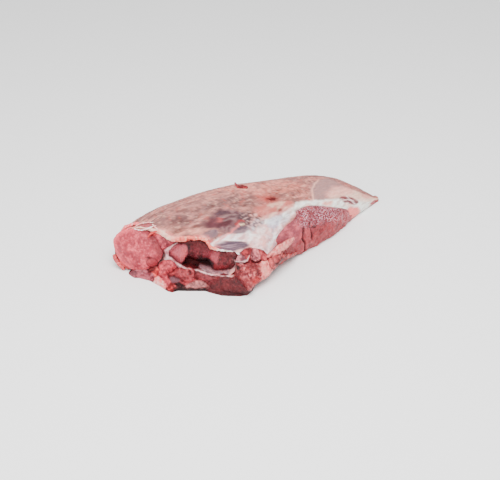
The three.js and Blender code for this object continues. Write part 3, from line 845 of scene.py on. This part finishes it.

# White membrane lies along the seams between the lobes, with pale patches of fat and dark patches on
# them, some of these painted shade.
for seam, wide, strength in (
    (
        [[-6, 26], [-18, 20], [-25, 14], [-25, 9], [-19, 3], [-11, -4], [3, -13], [22, -18], [38, -24]],
        0.9, 0.9,
    ),
    ([[-23, 6], [-32, 0], [-38, -5]], 1.8, 0.9),
    ([[35, -22], [50, -27], [66, -29], [77, -28], [83, -19]], 1.0, 1.0),
):
    line = stroke(across_in, up_in, seam, wide) * ease(-0.6, 0.4, noise(drift, 5, 115))
    paint(tint, strength * 1.2 * line, 240, 208, 206)
    out += 0.5 * line * ease(END_DEEP, -16, out)
for patch, strength, red, green, blue, soft in (
    # Painted shadow under the rim, over the tops of the upper and the right lobes.
    ([[8, 32], [21, 36], [34, 31], [43, 24], [38, 15], [25, 17], [11, 24]], 0.7, 142, 40, 47, 5),
    ([[60, 14], [80, 11], [86, 2], [73, -1], [59, 4]], 0.65, 140, 48, 54, 4),
    ([[42, 7], [50, 14], [60, 12], [59, 3], [56, -8], [50, -8], [43, -1]], 0.85, 200, 124, 130, 2.5),
    ([[51, -8], [60, -13], [73, -14], [66, -20], [52, -18]], 0.7, 180, 88, 90, 3),
    ([[-20, 11], [-12, 20], [2, 24], [9, 18], [7, 5], [0, -6], [-9, -1]], 0.9, 212, 150, 156, 3),
    ([[0, 16], [9, 18], [7, 6], [4, -1], [-1, 2]], 0.8, 214, 146, 146, 2.5),
    ([[36, 12], [47, 13], [48, 5], [42, -1], [34, 2]], 0.7, 170, 88, 94, 3),
    ([[-20, -29], [-12, -28], [-4, -33], [-9, -36], [-18, -36]], 0.95, 164, 126, 132, 2),
    ([[19, -26], [27, -25], [34, -33], [28, -37], [22, -34]], 0.3, 200, 118, 120, 3),
    ([[-56, 43], [-49, 50], [-33, 46], [-38, 40], [-49, 36]], 0.8, 212, 114, 110, 2.5),
    ([[-8, 31], [2, 34], [11, 30], [2, 26]], 0.7, 196, 96, 92, 2),
    # Painted shadow beneath the wedge's tip.
    ([[-34, 15], [-26, 13], [-25, 5], [-33, 3]], 0.9, 124, 52, 54, 2),
    ([[-10, -38], [2, -40], [5, -46], [2, -51], [-9, -51]], 0.95, 72, 26, 28, 2),
    # Painted shadow under the raised bottom sheet, along the board.
    ([[-11, -47], [2, -46], [21, -46], [37, -49], [36, -53], [-11, -52]], 0.9, 62, 26, 28, 1.5),
    # Red muscle in the gap between the tender and the lower lobes, darkened as painted shade.
    ([[-38, 7], [-28, 1], [-39, -10], [-47, -19], [-54, -19], [-48, -4]], 0.9, 128, 22, 24, 2.5),
    ([[26, -1], [39, 0], [49, -6], [48, -13], [36, -9]], 0.8, 84, 58, 60, 3),
    ([[-86, -19], [-76, -16], [-72, -21], [-80, -24]], 0.8, 150, 112, 116, 2.5),
    ([[73, -29], [75, -22], [83, -16], [86, -22], [80, -30]], 0.9, 244, 198, 192, 2),
    ([[40, -50], [58, -53], [98, -55], [98, -60], [58, -59]], 0.6, 74, 28, 30, 2.5),
):
    paint(tint, strength * region(across_in, up_in, patch, soft), red, green, blue)
swirl = stroke(
    across_in, up_in,
    [[-32, -13], [-25, -7], [-17, -10], [-14, -17], [-21, -24], [-27, -23]],
    1.1,
)
paint(tint, 0.5 * swirl, 160, 70, 76)
# A small hole in the lower middle lobe, dented and painted dark as the shade inside it, with a paler
# raised ring.
hole = np.exp(-((((across - 13) + 0.3 * (up + 22)) / 3.2) ** 2 + ((up + 22) / 4.4) ** 2) ** 1.5)
ring = np.exp(-((np.hypot((across - 12) / 1.1, up + 22) - 5.4) / 1.6) ** 2)
paint(tint, 0.85 * hole, 112, 38, 42)
paint(tint, 0.35 * ring, 206, 124, 124)
ridge = stroke(across_in, up_in, [[84, -28], [90, -35], [96, -43], [103, -52]], 2.2)
crest = stroke(across_in, up_in, [[37, -46], [47, -36], [56, -30], [65, -27]], 1.6)
paint(tint, 0.8 * ridge, 176, 86, 90)
paint(tint, 0.5 * crest, 176, 90, 92)
out += 1.0 * ring - 3.5 * hole - 0.8 * swirl + 1.5 * ridge + 0.8 * crest
lumps = 0.9 * rough(drift, 8, 117) + 0.7 * rough(drift, 3, 121, 2)
out += lumps * ease(END_DEEP, -16, out)
# Painted shade: the sheet darkens in the hollows of its relief.
hollow = blurred(out, 12) - out
paint(tint, 0.6 * ease(0.5, 4.0, hollow), 120, 30, 34)
# Painted shade on the deepest parts: the pocket and the gaps between the lobes turn dark red.
paint(tint, 0.9 * (1 - ease(-28, -17, out)), 132, 52, 56)
paint(
    tint,
    0.7 * region(across_in, up_in, [[26, -1], [39, 0], [49, -6], [48, -13], [36, -9]], 3),
    88, 62, 64,
)


def close_sheet(name, drift, out, up, tint, inward):
    """The foot of a sheet meets the board along a slope, nothing goes under the board, and behind
    its front the sheet is closed by a curve that runs inward from its foot to its top."""
    to_board = -drift[..., 2] / end_towards[2]
    out = np.maximum(out, to_board[:, -1:] - FOOT_SLOPE * (up - up[:, -1:]))
    out = np.maximum(out, to_board)
    place = drift + out[..., None] * end_towards
    foot = drift[:, -1:] + to_board[:, -1:, None] * end_towards
    back = (np.arange(END_BACK_LEVELS) / END_BACK_LEVELS)[None, :, None]
    closing = mix(foot, place[:, :1], back)
    closing = closing + END_HOLLOW * np.sqrt(np.sin(np.pi * back)) * np.array(inward)
    place = np.concatenate([place, closing], axis=1)
    tint = np.concatenate([tint, np.broadcast_to(colour(84, 24, 28), closing.shape)], axis=1)
    make_piece(
        name,
        with_poles(place),
        closed_faces(len(place) - 1, END_LEVELS + END_BACK_LEVELS),
        muscle,
        with_poles(tint),
        with_poles(np.full(place.shape[:2], 0.6)),
    )


muscle = tissue("cut_muscle", 0.5, 0.26, 0.0022, (1.0, 1.0, 0.7), 0.24, 0.0009, 0.12, 0.2)
close_sheet("cut_end", drift, out, up, tint, (0.903, 0.43, 0.0))

# The round tender is a cone-shaped muscle in its own thin sleeve. Its face was cut square across
# and stands a little proud; here it is its outline drawn in to a domed face and run back.
FACE_POWER = 2.6
BACK_SHARE = 0.8
FACE_ROWS = 110
BACK_ROWS = 30
FACE_AROUND = 260


def on_plane(way, up, out):
    """A point of the leaning cut plane, this far along it, up it and out of it."""
    level = out * np.cos(CUT_LEAN) - up * np.sin(CUT_LEAN)
    height = up * np.cos(CUT_LEAN) + out * np.sin(CUT_LEAN)
    place = CUT_LEFT + way[..., None] * CUT_ALONG
    return place + level[..., None] * CUT_OUT + height[..., None] * UPRIGHT


def cut_muscle(outline, out, dome, deep):
    """Rows run from the middle of the face to its outline and then back into the slab. The height
    of the face falls from the dome to nothing as a power of the distance from its middle."""
    ring = even_ring(outline, FACE_AROUND)
    middle = ring.mean(axis=0)
    face = np.concatenate([np.linspace(0, 1, FACE_ROWS), np.ones(BACK_ROWS)])[:, None]
    back = np.concatenate([np.zeros(FACE_ROWS), (1 + np.arange(BACK_ROWS)) / BACK_ROWS])[:, None]
    spread = np.sin(face * np.pi / 2)
    scale = np.where(back == 1, 0, spread * (1 - (1 - BACK_SHARE) * back))
    way = mix(middle[0], ring[:, 0], scale)
    up = mix(middle[1], ring[:, 1], scale)
    place = on_plane(way, up, out + dome * (1 - spread**FACE_POWER) + 0 * way)
    place = place - (deep * back)[..., None] * CUT_OUT
    return place, way, back + 0 * way, spread + 0 * way


def even_ring(outline, count):
    """A smooth closed outline, as this many points spaced evenly along it."""
    ring = smooth_line(outline, True, 24)
    closed = np.concatenate([ring, ring[:1]])
    length = np.concatenate([[0], np.cumsum(np.linalg.norm(np.diff(closed, axis=0), axis=-1))])
    wanted = length[-1] * np.arange(count) / count
    return np.stack([np.interp(wanted, length, closed[:, k]) for k in (0, 1)], axis=-1)


place, way, back, spread = cut_muscle(
    [[-9, 43], [-1, 62], [18, 74], [40, 75], [60, 67], [76, 47], [74, 29], [56, 11], [32, 4], [5, 15]],
    2, 9, 48,
)
height = place[..., 2]
tint = np.broadcast_to(colour(204, 116, 124), place.shape).copy()
grain = rough(place, 9, 131)
fine_grain = rough(place, 3.6, 135, 2)
paint(tint, 0.75 * ease(0.0, 0.8, grain), 188, 98, 106)
paint(tint, 0.6 * ease(0.1, 0.8, -grain), 228, 154, 158)
paint(tint, 0.45 * ease(0.1, 0.6, fine_grain), 178, 90, 96)
paint(tint, 0.4 * ease(0.1, 0.6, -fine_grain), 230, 162, 164)
left_rim = ease(0.75, 0.98, spread) * (1 - ease(20, 40, way))
paint(tint, 0.7 * left_rim, 232, 152, 157)
# Painted shade: the crease to the wedge, the ring round the foot of the knob and the small hole are
# painted darker; the relief below dents the crease and the hole and raises the knob.
crease = stroke(way, height, [[52, 74], [58, 62], [66, 50], [72, 38], [72, 28]], 1.8)
beyond = region(way, height, [[48, 76], [55, 62], [63, 50], [70, 36], [84, 36], [80, 60], [66, 78]], 7)
paint(tint, 0.8 * beyond, 158, 76, 84)
paint(tint, 0.3 * crease, 156, 70, 76)
knob = np.exp(-(((way - 62) / 8.5) ** 2 + ((height - 24) / 8) ** 2) ** 2)
paint(tint, 0.6 * knob, 178, 84, 84)
paint(tint, 0.7 * np.exp(-((np.hypot(way - 62, height - 24) - 8.5) / 1.5) ** 2), 150, 60, 64)
hole = np.exp(-(((way - 57) / 3.2) ** 2) - ((height - 32) / 1.6) ** 2)
paint(tint, hole, 120, 26, 34)
right_side = ease(30, 50, way)
paint(tint, ease(0.0, 0.1, back) * (1 - right_side), 226, 146, 150)
paint(tint, ease(0.0, 0.1, back) * right_side, 168, 84, 88)
paint(tint, ease(0.02, 0.12, back) * ease(0.1, 0.6, grain) * (1 - right_side), 234, 172, 168)
paint(tint, ease(0.2, 0.5, back), 120, 40, 46)
relief = 0.9 * rough(place, 11, 139) + 0.55 * rough(place, 3.2, 143, 2)
relief = relief + 2.4 * knob - 3 * hole - 0.7 * crease
lifted = place + (relief * (1 - 0.6 * back))[..., None] * grid_normals(place)
lifted[..., 2] = np.maximum(lifted[..., 2], 0)
make_piece(
    "tender",
    with_poles(lifted),
    closed_faces(len(place) - 1, FACE_AROUND),
    muscle,
    with_poles(tint),
    with_poles(np.full(way.shape, 0.55)),
)

# The lean face on the right side. The real one is muscle that the knife or the pull of the hide
# laid bare: wet, coarse and purple-red above, torn and warmer below. It is a pad that follows the
# slab and stands a little proud of the skin.
PAD_AROUND = 400
PAD_FACE_ROWS = 90
PAD_BACK_ROWS = 6
PAD_SINK = 9
PAD_POWER = 7


def pad(outline, lift):
    """A smooth outline on the slab, drawn in to its middle. The pad stands out of the slab by the
    lift, which falls to nothing at the outline, and its back is sunk in the slab."""
    ring = even_ring(np.array(outline) * (1, MM_A_DEGREE), PAD_AROUND) / (1, MM_A_DEGREE)
    middle = ring.mean(axis=0)
    scale = np.concatenate([
        np.sin(np.linspace(0, np.pi / 2, PAD_FACE_ROWS)),
        np.linspace(1, 0, PAD_BACK_ROWS + 1)[1:],
    ])[:, None]
    sunk = (np.arange(PAD_FACE_ROWS + PAD_BACK_ROWS) >= PAD_FACE_ROWS)[:, None]
    rib = mix(middle[0], ring[:, 0], scale)
    degrees = mix(middle[1], ring[:, 1], scale)
    angle = np.radians(degrees)
    ahead = slab_point(rib + 1, angle) - slab_point(rib - 1, angle)
    onward = slab_point(rib, angle + 0.02) - slab_point(rib, angle - 0.02)
    out = np.cross(onward, ahead)
    out = out / np.linalg.norm(out, axis=-1, keepdims=True)
    height = np.where(sunk, -PAD_SINK, lift) * (1 - scale**PAD_POWER) + 0 * rib
    place = slab_point(rib, angle) + height[..., None] * out
    return place, out, rib, degrees, sunk + 0 * rib, scale + 0 * rib


place, out, rib, degrees, sunk, scale = pad([
    [-78, 158], [-50, 151], [-23, 147], [4, 143], [17, 139],
    [24, 135], [50, 134], [75, 139], [104, 149],
    [132, 160], [150, 171], [172, 190], [150, 208], [60, 208], [6, 206], [-18, 190], [-46, 168],
], 5)
u = rib + 1.5 * noise(place, 8, 201)
v = degrees * MM_A_DEGREE + 1.5 * noise(place, 8, 202)
tint = np.broadcast_to(colour(190, 106, 107), place.shape).copy()
upper = 1 - ease(-14, 14, v - 164 * MM_A_DEGREE)
paint(tint, upper, 170, 96, 104)
paint(tint, 0.7 * ease(0.1, 0.8, rough(place, 10, 205)), 160, 78, 82)
paint(tint, 0.6 * ease(0.2, 0.8, rough(place, 7, 209)), 210, 130, 130)
smooth_part = skin_patch([[-76, 162], [-40, 148], [-4, 140], [6, 150], [-4, 166], [-30, 174]], 6)
paint(tint, 0.8 * smooth_part, 194, 126, 131)
paint(tint, 0.6 * smooth_part * ease(0.05, 0.5, rough(place * (0.6, 1, 1), 6, 211)), 172, 102, 110)
paint(tint, 0.6 * smooth_part * ease(0.05, 0.5, -rough(place * (0.6, 1, 1), 6, 211)), 214, 150, 154)
# Painted glints: the share of pale dots that stand for the wet shine on the coarse part of the face.
glint_share = skin_patch([
    [4, 150], [14, 140], [26, 132], [60, 132], [90, 142], [120, 152],
    [140, 168], [132, 180], [90, 172], [54, 162], [24, 160],
], 8) * (0.35 + 0.65 * ease(-0.5, 0.4, rough(place, 14, 213)))
relief = (1.3 * rough(place, 9, 217) + 0.9 * rough(place, 5, 221, 1)) * (1 - 0.6 * smooth_part)
# The cracks and the pit are dented and painted dark red: the torn muscle, darkened as painted shade
# inside them.
for crack, wide, depth in (
    ([[10, 158], [4, 164], [1, 169], [3, 175], [5, 181], [7, 188]], 1.9, 5.0),
    ([[30, 153], [25, 160], [24, 166], [21, 177]], 1.1, 2.5),
    ([[32, 161], [36, 162]], 2.2, 1.5),
):
    split = skin_line(crack, wide)
    relief -= depth * split
    paint(tint, 1.4 * split, 112, 28, 30)
pit = np.exp(-(((u - 4) / 6) ** 2) - ((v - 185 * MM_A_DEGREE) / 3) ** 2)
relief -= 4 * pit
paint(tint, 1.2 * pit, 70, 16, 18)
# Painted shade in the hollows of the relief, and painted light on its raised parts.
hollow = blurred(relief, 12) - relief
paint(tint, 0.8 * ease(0.15, 1.0, hollow), 140, 54, 58)
paint(tint, 0.5 * ease(0.15, 1.0, -hollow), 212, 140, 140)
lifted = place + (relief * (1 - sunk) * (1 - scale**12))[..., None] * out
lifted[..., 2] = np.maximum(lifted[..., 2], 0)
lean = tissue("lean_face", 0.5, 0.28, 0.0026, (0.7, 1.0, 1.0), 0.26, 0.0012, 0.15, 0.2)
make_piece(
    "lean_face",
    with_poles(lifted),
    closed_faces(len(place) - 1, PAD_AROUND),
    lean,
    with_poles(tint),
    with_poles(np.full(rib.shape, 0.6)),
    with_poles(glint_share),
)

# The torn side, right of the cut end. The real muscle was pulled from its neighbour here, so it is
# crumbly meat with fat and lacy membrane, under tongues of torn fascia. It is a sheet laid out like
# the cut end, over a curved base that follows the slab's side.
SIDE_START = 88
SIDE_DEPTH = 36
SIDE_CURVE = 0.0082
SIDE_SET_BACK = 9
SIDE_COLUMNS = 330
SIDE_TOP = np.array([
    [82, -8], [85, -2], [90, 8], [100, 14], [111, 16],
    [121, 14], [131, 11], [137, 5], [143, 9], [157, 20],
    [177, 29], [191, 33], [196, 18],
])
SIDE_FOOT = np.array([
    [81, -26], [84, -30], [90, -36], [96, -44], [102, -54],
    [107, -53], [115, -45], [125, -39], [136, -34],
    [143, -26], [152, -19], [163, -9], [181, -4], [195, 3],
])
SIDE_LOBES = (
    (
        [[80, -22], [84, -14], [96, -10], [108, -11], [120, -10],
         [128, -16], [130, -30], [124, -42], [108, -56],
         [98, -56], [90, -36]],
        0, 3, 6, (184, 106, 107), (146, 62, 66), (216, 150, 148),
    ),
    (
        [[122, -14], [128, -8], [138, -7], [145, -12], [147, -22], [140, -34], [128, -42], [124, -30]],
        0, 3, 5, (222, 168, 162), (200, 120, 116), (238, 196, 186),
    ),
    (
        [[136, -6], [144, -1], [158, 3], [176, 2], [192, 6],
         [196, -2], [180, -8], [164, -14], [152, -24], [144, -22]],
        0, 4, 5, (190, 106, 104), (150, 62, 62), (216, 146, 140),
    ),
    (
        [[82, -7], [85, 5], [90, 10], [99, 9], [104, 0], [106, -6], [96, -8]],
        -1, 2.5, 3, (170, 112, 118), (140, 80, 88), (214, 168, 170),
    ),
    (
        [[93, 5], [98, 13], [108, 16], [113, 9], [110, -1], [105, -9], [99, -1]],
        0, 2.5, 3, (180, 84, 86), (142, 50, 52), (208, 118, 116),
    ),
    (
        [[109, 5], [114, 13], [124, 13], [129, 5], [127, -4], [118, -9], [110, -6]],
        0, 2.5, 3, (176, 112, 116), (144, 74, 80), (220, 172, 172),
    ),
    (
        [[121, 12], [130, 12], [136, 5], [135, -6], [126, -7], [125, 3]],
        0, 3, 4, (186, 98, 100), (150, 60, 64), (214, 140, 138),
    ),
    (
        [[134, -3], [143, 6], [157, 17], [174, 25], [188, 31],
         [190, 24], [174, 13], [160, 4], [146, -2]],
        2, 2.5, 4, (222, 170, 164), (200, 130, 126), (240, 204, 194),
    ),
)
across = np.linspace(SIDE_TOP[0, 0], SIDE_TOP[-1, 0], SIDE_COLUMNS)[:, None]
up = mix(np.interp(across, *SIDE_TOP.T), np.interp(across, *SIDE_FOOT.T), np.linspace(0, 1, END_LEVELS))
across = across + 0 * up
wobble = noise(np.stack([0 * up, up, 0 * up], axis=-1) + 3.3, 7, 325)
across = across + 3.5 * wobble * (1 - ease(SIDE_START - 6, SIDE_START + 10, across))
base = SIDE_DEPTH - SIDE_CURVE * (across - SIDE_START) ** 2
base = base - SIDE_SET_BACK * ease(-12, 4, up) * (1 - ease(128, 150, across))
place = END_MIDDLE + across[..., None] * end_across + up[..., None] * end_up
place = place + base[..., None] * end_towards
across_in = across + 1.6 * noise(place, 7, 301) + 0.9 * noise(place, 3, 302)
up_in = up + 1.6 * noise(place, 7, 303) + 0.9 * noise(place, 3, 304)
out = np.full(up.shape, -2.0)
tint = np.broadcast_to(colour(176, 90, 90), (*up.shape, 3)).copy()
out = lay_lobes(SIDE_LOBES, across_in, up_in, place, out, tint)
crumb = (1 - 2 * np.abs(noise(place, 8, 305))) + 0.6 * (1 - 2 * np.abs(noise(place, 4, 306)))
crumb += 0.5 * noise(place, 2.2, 307)
facet = region(across, up, SIDE_LOBES[0][0], 3)
lower = np.maximum(facet, 0.6 * ease(134, 142, across) * (1 - ease(2, 8, up)))
out += (0.5 + 1.3 * lower) * crumb
lace = ease(0.72, 0.95, 1 - np.abs(noise(place, 4, 309))) * ease(0.0, 0.7, noise(place, 7, 311))
paint(tint, 0.6 * lace * facet, 228, 184, 184)
bits = ease(0.2, 0.7, noise(place, 3.6, 313)) * ease(-0.4, 0.5, rough(place, 12, 315))
paint(tint, 0.6 * bits * lower, 226, 176, 170)
paint(tint, 0.6 * ease(0.2, 0.8, -noise(place, 5, 317)) * lower, 148, 58, 62)
for patch, strength, red, green, blue, soft in (
    ([[82, -6], [91, -6], [101, -5], [106, 1], [104, -4], [96, -9], [84, -9]], 0.9, 240, 208, 206, 1.5),
    ([[83, -14], [89, -13], [92, -17], [86, -20], [81, -19]], 0.95, 70, 20, 22, 2),
    ([[102, -10], [120, -11], [126, -16], [119, -25], [106, -21]], 0.5, 160, 72, 74, 4),
    ([[111, -36], [117, -31], [122, -36], [117, -44], [110, -43]], 0.8, 196, 66, 62, 3),
    ([[85, -31], [92, -30], [99, -41], [104, -53], [97, -48]], 0.7, 158, 66, 70, 2.5),
    ([[128, -19], [136, -19], [136, -31], [129, -29]], 0.7, 232, 186, 176, 3),
):
    paint(tint, strength * region(across_in, up_in, patch, soft), red, green, blue)
# The splits and the hole are dented and painted dark red: the muscle, darkened as painted shade inside
# them.
for split, wide, sink in (
    ([[85, -9], [94, -8], [107, -9], [118, -10], [127, -7]], 1.1, 2.0),
    ([[136, -5], [148, -1], [160, 2], [172, 6]], 0.8, 1.0),
):
    line = stroke(across_in + 2 * noise(place, 5, 319), up_in + 2 * noise(place, 5, 321), split, wide)
    line = line * ease(-0.7, 0.2, noise(place, 6, 323))
    paint(tint, 0.8 * line, 122, 40, 42)
    out -= sink * line
hole = np.exp(-(((across - 152) / 2.6) ** 2) - ((up + 14) / 2.6) ** 2)
paint(tint, hole, 104, 24, 26)
out -= 3 * hole
out += 12 * stroke(across, up, [[84, -28], [90, -35], [96, -43], [103, -52]], 6)
# Painted shade in the hollows of the sheet.
hollow = blurred(out, 8) - out
paint(tint, 0.7 * ease(0.3, 2.2, hollow), 116, 36, 38)
to_top = np.interp(across, *SIDE_TOP.T) - up
out -= 9 * (1 - ease(0, 3, to_top)) + 5 * (1 - ease(0, 6, up - up[:, -1:])) ** 2
out -= 8 * ease(190, 196, across)
close_sheet("torn_side", place, out, up, tint, (0.2, 0.9, 0.0))

# The rim. At the cut end the real fascia is a thick creamy lip, ragged where it was torn over the
# pocket. It is a lumpy roll along the end of the slab.
RIM_ROWS = 520
RIM_AROUND = 22
turn = np.radians(np.linspace(40, 160, RIM_ROWS))
middle = slab_point(np.full(RIM_ROWS, STATION[0] + 2.0), turn)
ahead = np.gradient(middle, axis=0)
ahead = ahead / np.linalg.norm(ahead, axis=-1, keepdims=True)
inward = slab_point(np.full(RIM_ROWS, STATION[0] + 2.0), turn, 0.97) - middle
inward = inward / np.linalg.norm(inward, axis=-1, keepdims=True)
endward = np.cross(ahead, inward)
angle = TAU * np.arange(RIM_AROUND) / RIM_AROUND
degrees = np.degrees(turn)[:, None] + 0 * angle
thick = 2.2 + 1.0 * ease(84, 98, degrees) - 1.7 * ease(134, 142, degrees)
thick = thick * (1 + 0.35 * noise(np.stack([degrees * 1.7, 0 * degrees, 0 * degrees], axis=-1), 7, 331))
taper = np.sqrt(np.clip(ease(40, 44, degrees) * (1 - ease(156, 160, degrees)), 0, 1))
wide = 1.5 * thick * taper
deep = thick * taper
place = middle[:, None] + (inward * 1.2)[:, None]
place = place + (wide * np.cos(angle))[..., None] * inward[:, None]
place = place + (deep * np.sin(angle))[..., None] * endward[:, None]
lumpy = 1.1 * noise(place, 6, 333) + 0.7 * noise(place, 2.6, 335)
place = place + (lumpy * taper)[..., None] * grid_normals(place)
tint = np.broadcast_to(colour(244, 208, 198), place.shape).copy()
paint(tint, 0.6 * ease(0.1, 0.6, noise(place, 5, 336)), 222, 160, 150)
ragged_part = ease(104, 112, degrees) * (1 - ease(134, 140, degrees))
paint(tint, 0.85 * ragged_part, 222, 138, 118)
paint(tint, 0.7 * ragged_part * ease(0.1, 0.5, noise(place, 3, 337)), 240, 200, 186)
paint(tint, 0.7 * ragged_part * ease(0.2, 0.6, noise(place, 5, 339)), 190, 84, 76)
paint(tint, 0.8 * (1 - ease(62, 76, degrees)), 230, 156, 154)
paint(tint, 0.7 * ease(136, 142, degrees), 236, 226, 224)
make_piece(
    "rim",
    with_poles(place),
    closed_faces(RIM_ROWS - 1, RIM_AROUND),
    fascia,
    with_poles(tint),
    with_poles(np.full(degrees.shape, 0.4)),
)

# Shreds. Round the cut end and on top a few real scraps of muscle, fat and membrane stayed on when
# the neighbours were trimmed away. Each is a thin bent roll, fixed where it starts.
SHRED_AROUND = 20
SHRED_STEPS = 12


def shred(name, points, thick, flat, main, pale):
    """A roll along a smooth line in space that tapers to both ends: its radius at a share t of the
    line is thick (1 - (2t - 1)^4)^(1/2), flattened upwards by the flat share."""
    line = smooth_line(points, False, SHRED_STEPS)
    share = np.linspace(0, 1, len(line))
    radius = thick * np.sqrt(1 - (2 * share - 1) ** 4)
    ahead = np.gradient(line, axis=0)
    ahead = ahead / np.linalg.norm(ahead, axis=-1, keepdims=True)
    side = np.cross(ahead, UPRIGHT)
    side = side / np.linalg.norm(side, axis=-1, keepdims=True)
    over = np.cross(side, ahead)
    angle = TAU * np.arange(SHRED_AROUND) / SHRED_AROUND
    offset = np.cos(angle)[:, None] * side[:, None] + flat * np.sin(angle)[:, None] * over[:, None]
    place = line[:, None] + radius[:, None, None] * offset
    place = place + (0.35 * radius)[:, None, None] * (noise(place, 3, 401)[..., None] * offset)
    place[..., 2] = np.maximum(place[..., 2], 0.2)
    tint = np.broadcast_to(colour(*main), place.shape).copy()
    paint(tint, ease(-0.1, 0.6, noise(place, 2.4, 403)), *pale)
    make_piece(
        name,
        with_poles(place),
        closed_faces(len(line) - 1, SHRED_AROUND),
        muscle,
        with_poles(tint),
        with_poles(np.full(place.shape[:2], 0.5)),
    )


def on_cut(points):
    """Places from way along the cut, height and distance out of the leaning plane."""
    way, height, out = np.array(points, float).T
    return CUT_LEFT + np.stack([
        way * CUT_ALONG[0] + (out - height * np.tan(CUT_LEAN)) * CUT_OUT[0],
        way * CUT_ALONG[1] + (out - height * np.tan(CUT_LEAN)) * CUT_OUT[1],
        height,
    ], axis=-1)


def over_skin(points):
    """Places from rib, turn in degrees and height over the slab's skin."""
    rib, degrees, lift = np.array(points, float).T
    return slab_point(rib, np.radians(degrees)) + lift[:, None] * UPRIGHT


shred(
    "horn",
    over_skin([(-4, 91, 1), (-9, 89, 1.5), (-14, 87, 1.5), (-18, 85, 2)]),
    4.4, 0.7, (150, 44, 46), (196, 100, 96),
)
shred(
    "horn_tip",
    over_skin([(-15, 86, 1), (-15, 82, 3), (-14, 79, 5), (-14, 77, 7)]),
    1.7, 0.8, (178, 92, 96), (226, 176, 176),
)
shred(
    "tag_low",
    on_cut([(-9, 22, -3), (-4, 14, -1), (4, 8, 0), (13, 1, 1)]),
    4.0, 0.7, (206, 120, 118), (232, 168, 162),
)
shred(
    "tag_back",
    on_cut([(-4, 26, -14), (-1, 14, -13), (8, 8, -12), (20, 7, -12), (34, 6, -10)]),
    6.5, 0.9, (168, 80, 84), (200, 118, 120),
)
shred(
    "tag_in",
    on_cut([(0, 16, -4), (10, 9, -1), (22, 4, 0)]),
    3.5, 0.7, (190, 96, 96), (222, 146, 142),
)
shred(
    "hem_left",
    on_cut([(2, 62, -3), (9, 70, -2), (19, 75, -3), (32, 79, -5)]),
    3.6, 0.6, (232, 152, 152), (246, 200, 196),
)
shred(
    "loop_over",
    on_cut([(27, 73, 4), (31, 77, -3), (42, 80, -7), (55, 82, -8)]),
    1.1, 0.8, (234, 190, 188), (248, 224, 220),
)
shred(
    "loop_under",
    on_cut([(27, 73, 4), (40, 73, 5), (51, 77, 3), (62, 80, -4)]),
    1.2, 0.8, (238, 200, 196), (250, 228, 224),
)
shred(
    "loop_end",
    on_cut([(55, 81, -4), (62, 79, 0), (69, 74, 0)]),
    1.3, 0.8, (236, 196, 190), (248, 220, 214),
)
shred(
    "flap",
    on_cut([(52, 62, 4), (58, 71, 5), (67, 75, 2), (76, 72, -1)]),
    3.2, 0.5, (206, 104, 98), (232, 150, 142),
)

# The board that the piece lies on is left as a plain pale floor, under soft studio light.
floor_mesh = bpy.data.meshes.new("floor")
floor_mesh.from_pydata([(-3, -3, 0), (3, -3, 0), (3, 3, 0), (-3, 3, 0)], [], [(0, 1, 2, 3)])
floor = bpy.data.objects.new("floor", floor_mesh)
bpy.context.scene.collection.objects.link(floor)
pale = bpy.data.materials.new("pale_floor")
pale.use_nodes = True
pale.node_tree.nodes["Principled BSDF"].inputs["Base Color"].default_value = (0.9, 0.9, 0.9, 1)
pale.node_tree.nodes["Principled BSDF"].inputs["Roughness"].default_value = 0.9
floor_mesh.materials.append(pale)


def softbox(name, place, aim, size, power):
    """A square area light at a place, turned so that it faces its aim."""
    light = bpy.data.lights.new(name, "AREA")
    light.size = size
    light.energy = power
    lamp = bpy.data.objects.new(name, light)
    lamp.location = place
    lamp.rotation_euler = (Vector(aim) - Vector(place)).to_track_quat("-Z", "Y").to_euler()
    bpy.context.scene.collection.objects.link(lamp)


softbox("key", (-0.6, -0.5, 1.6), (0, 0, 0.03), 1.4, 62)
softbox("fill", (-1.6, -0.9, 0.6), (-0.1, 0, 0.03), 1.2, 8)
world = bpy.data.worlds.new("studio")
world.use_nodes = True
world.node_tree.nodes["Background"].inputs["Color"].default_value = (1, 1, 1, 1)
world.node_tree.nodes["Background"].inputs["Strength"].default_value = 1.2
bpy.context.scene.world = world

# The camera stands at the photograph's angle: 46 degrees round to the left and 30 degrees up.
azimuth, elevation = np.radians(-46), np.radians(30)
aim = np.array([-0.070, -0.042, 0.035])
back_to_camera = np.array([
    np.sin(azimuth) * np.cos(elevation),
    -np.cos(azimuth) * np.cos(elevation),
    np.sin(elevation),
])
lens = bpy.data.cameras.new("camera")
lens.lens = 74.2
lens.sensor_width = 36
camera = bpy.data.objects.new("camera", lens)
camera.location = aim + 1.7 * back_to_camera
camera.rotation_euler = Vector(-back_to_camera).to_track_quat("-Z", "Y").to_euler()
bpy.context.scene.collection.objects.link(camera)
bpy.context.scene.camera = camera
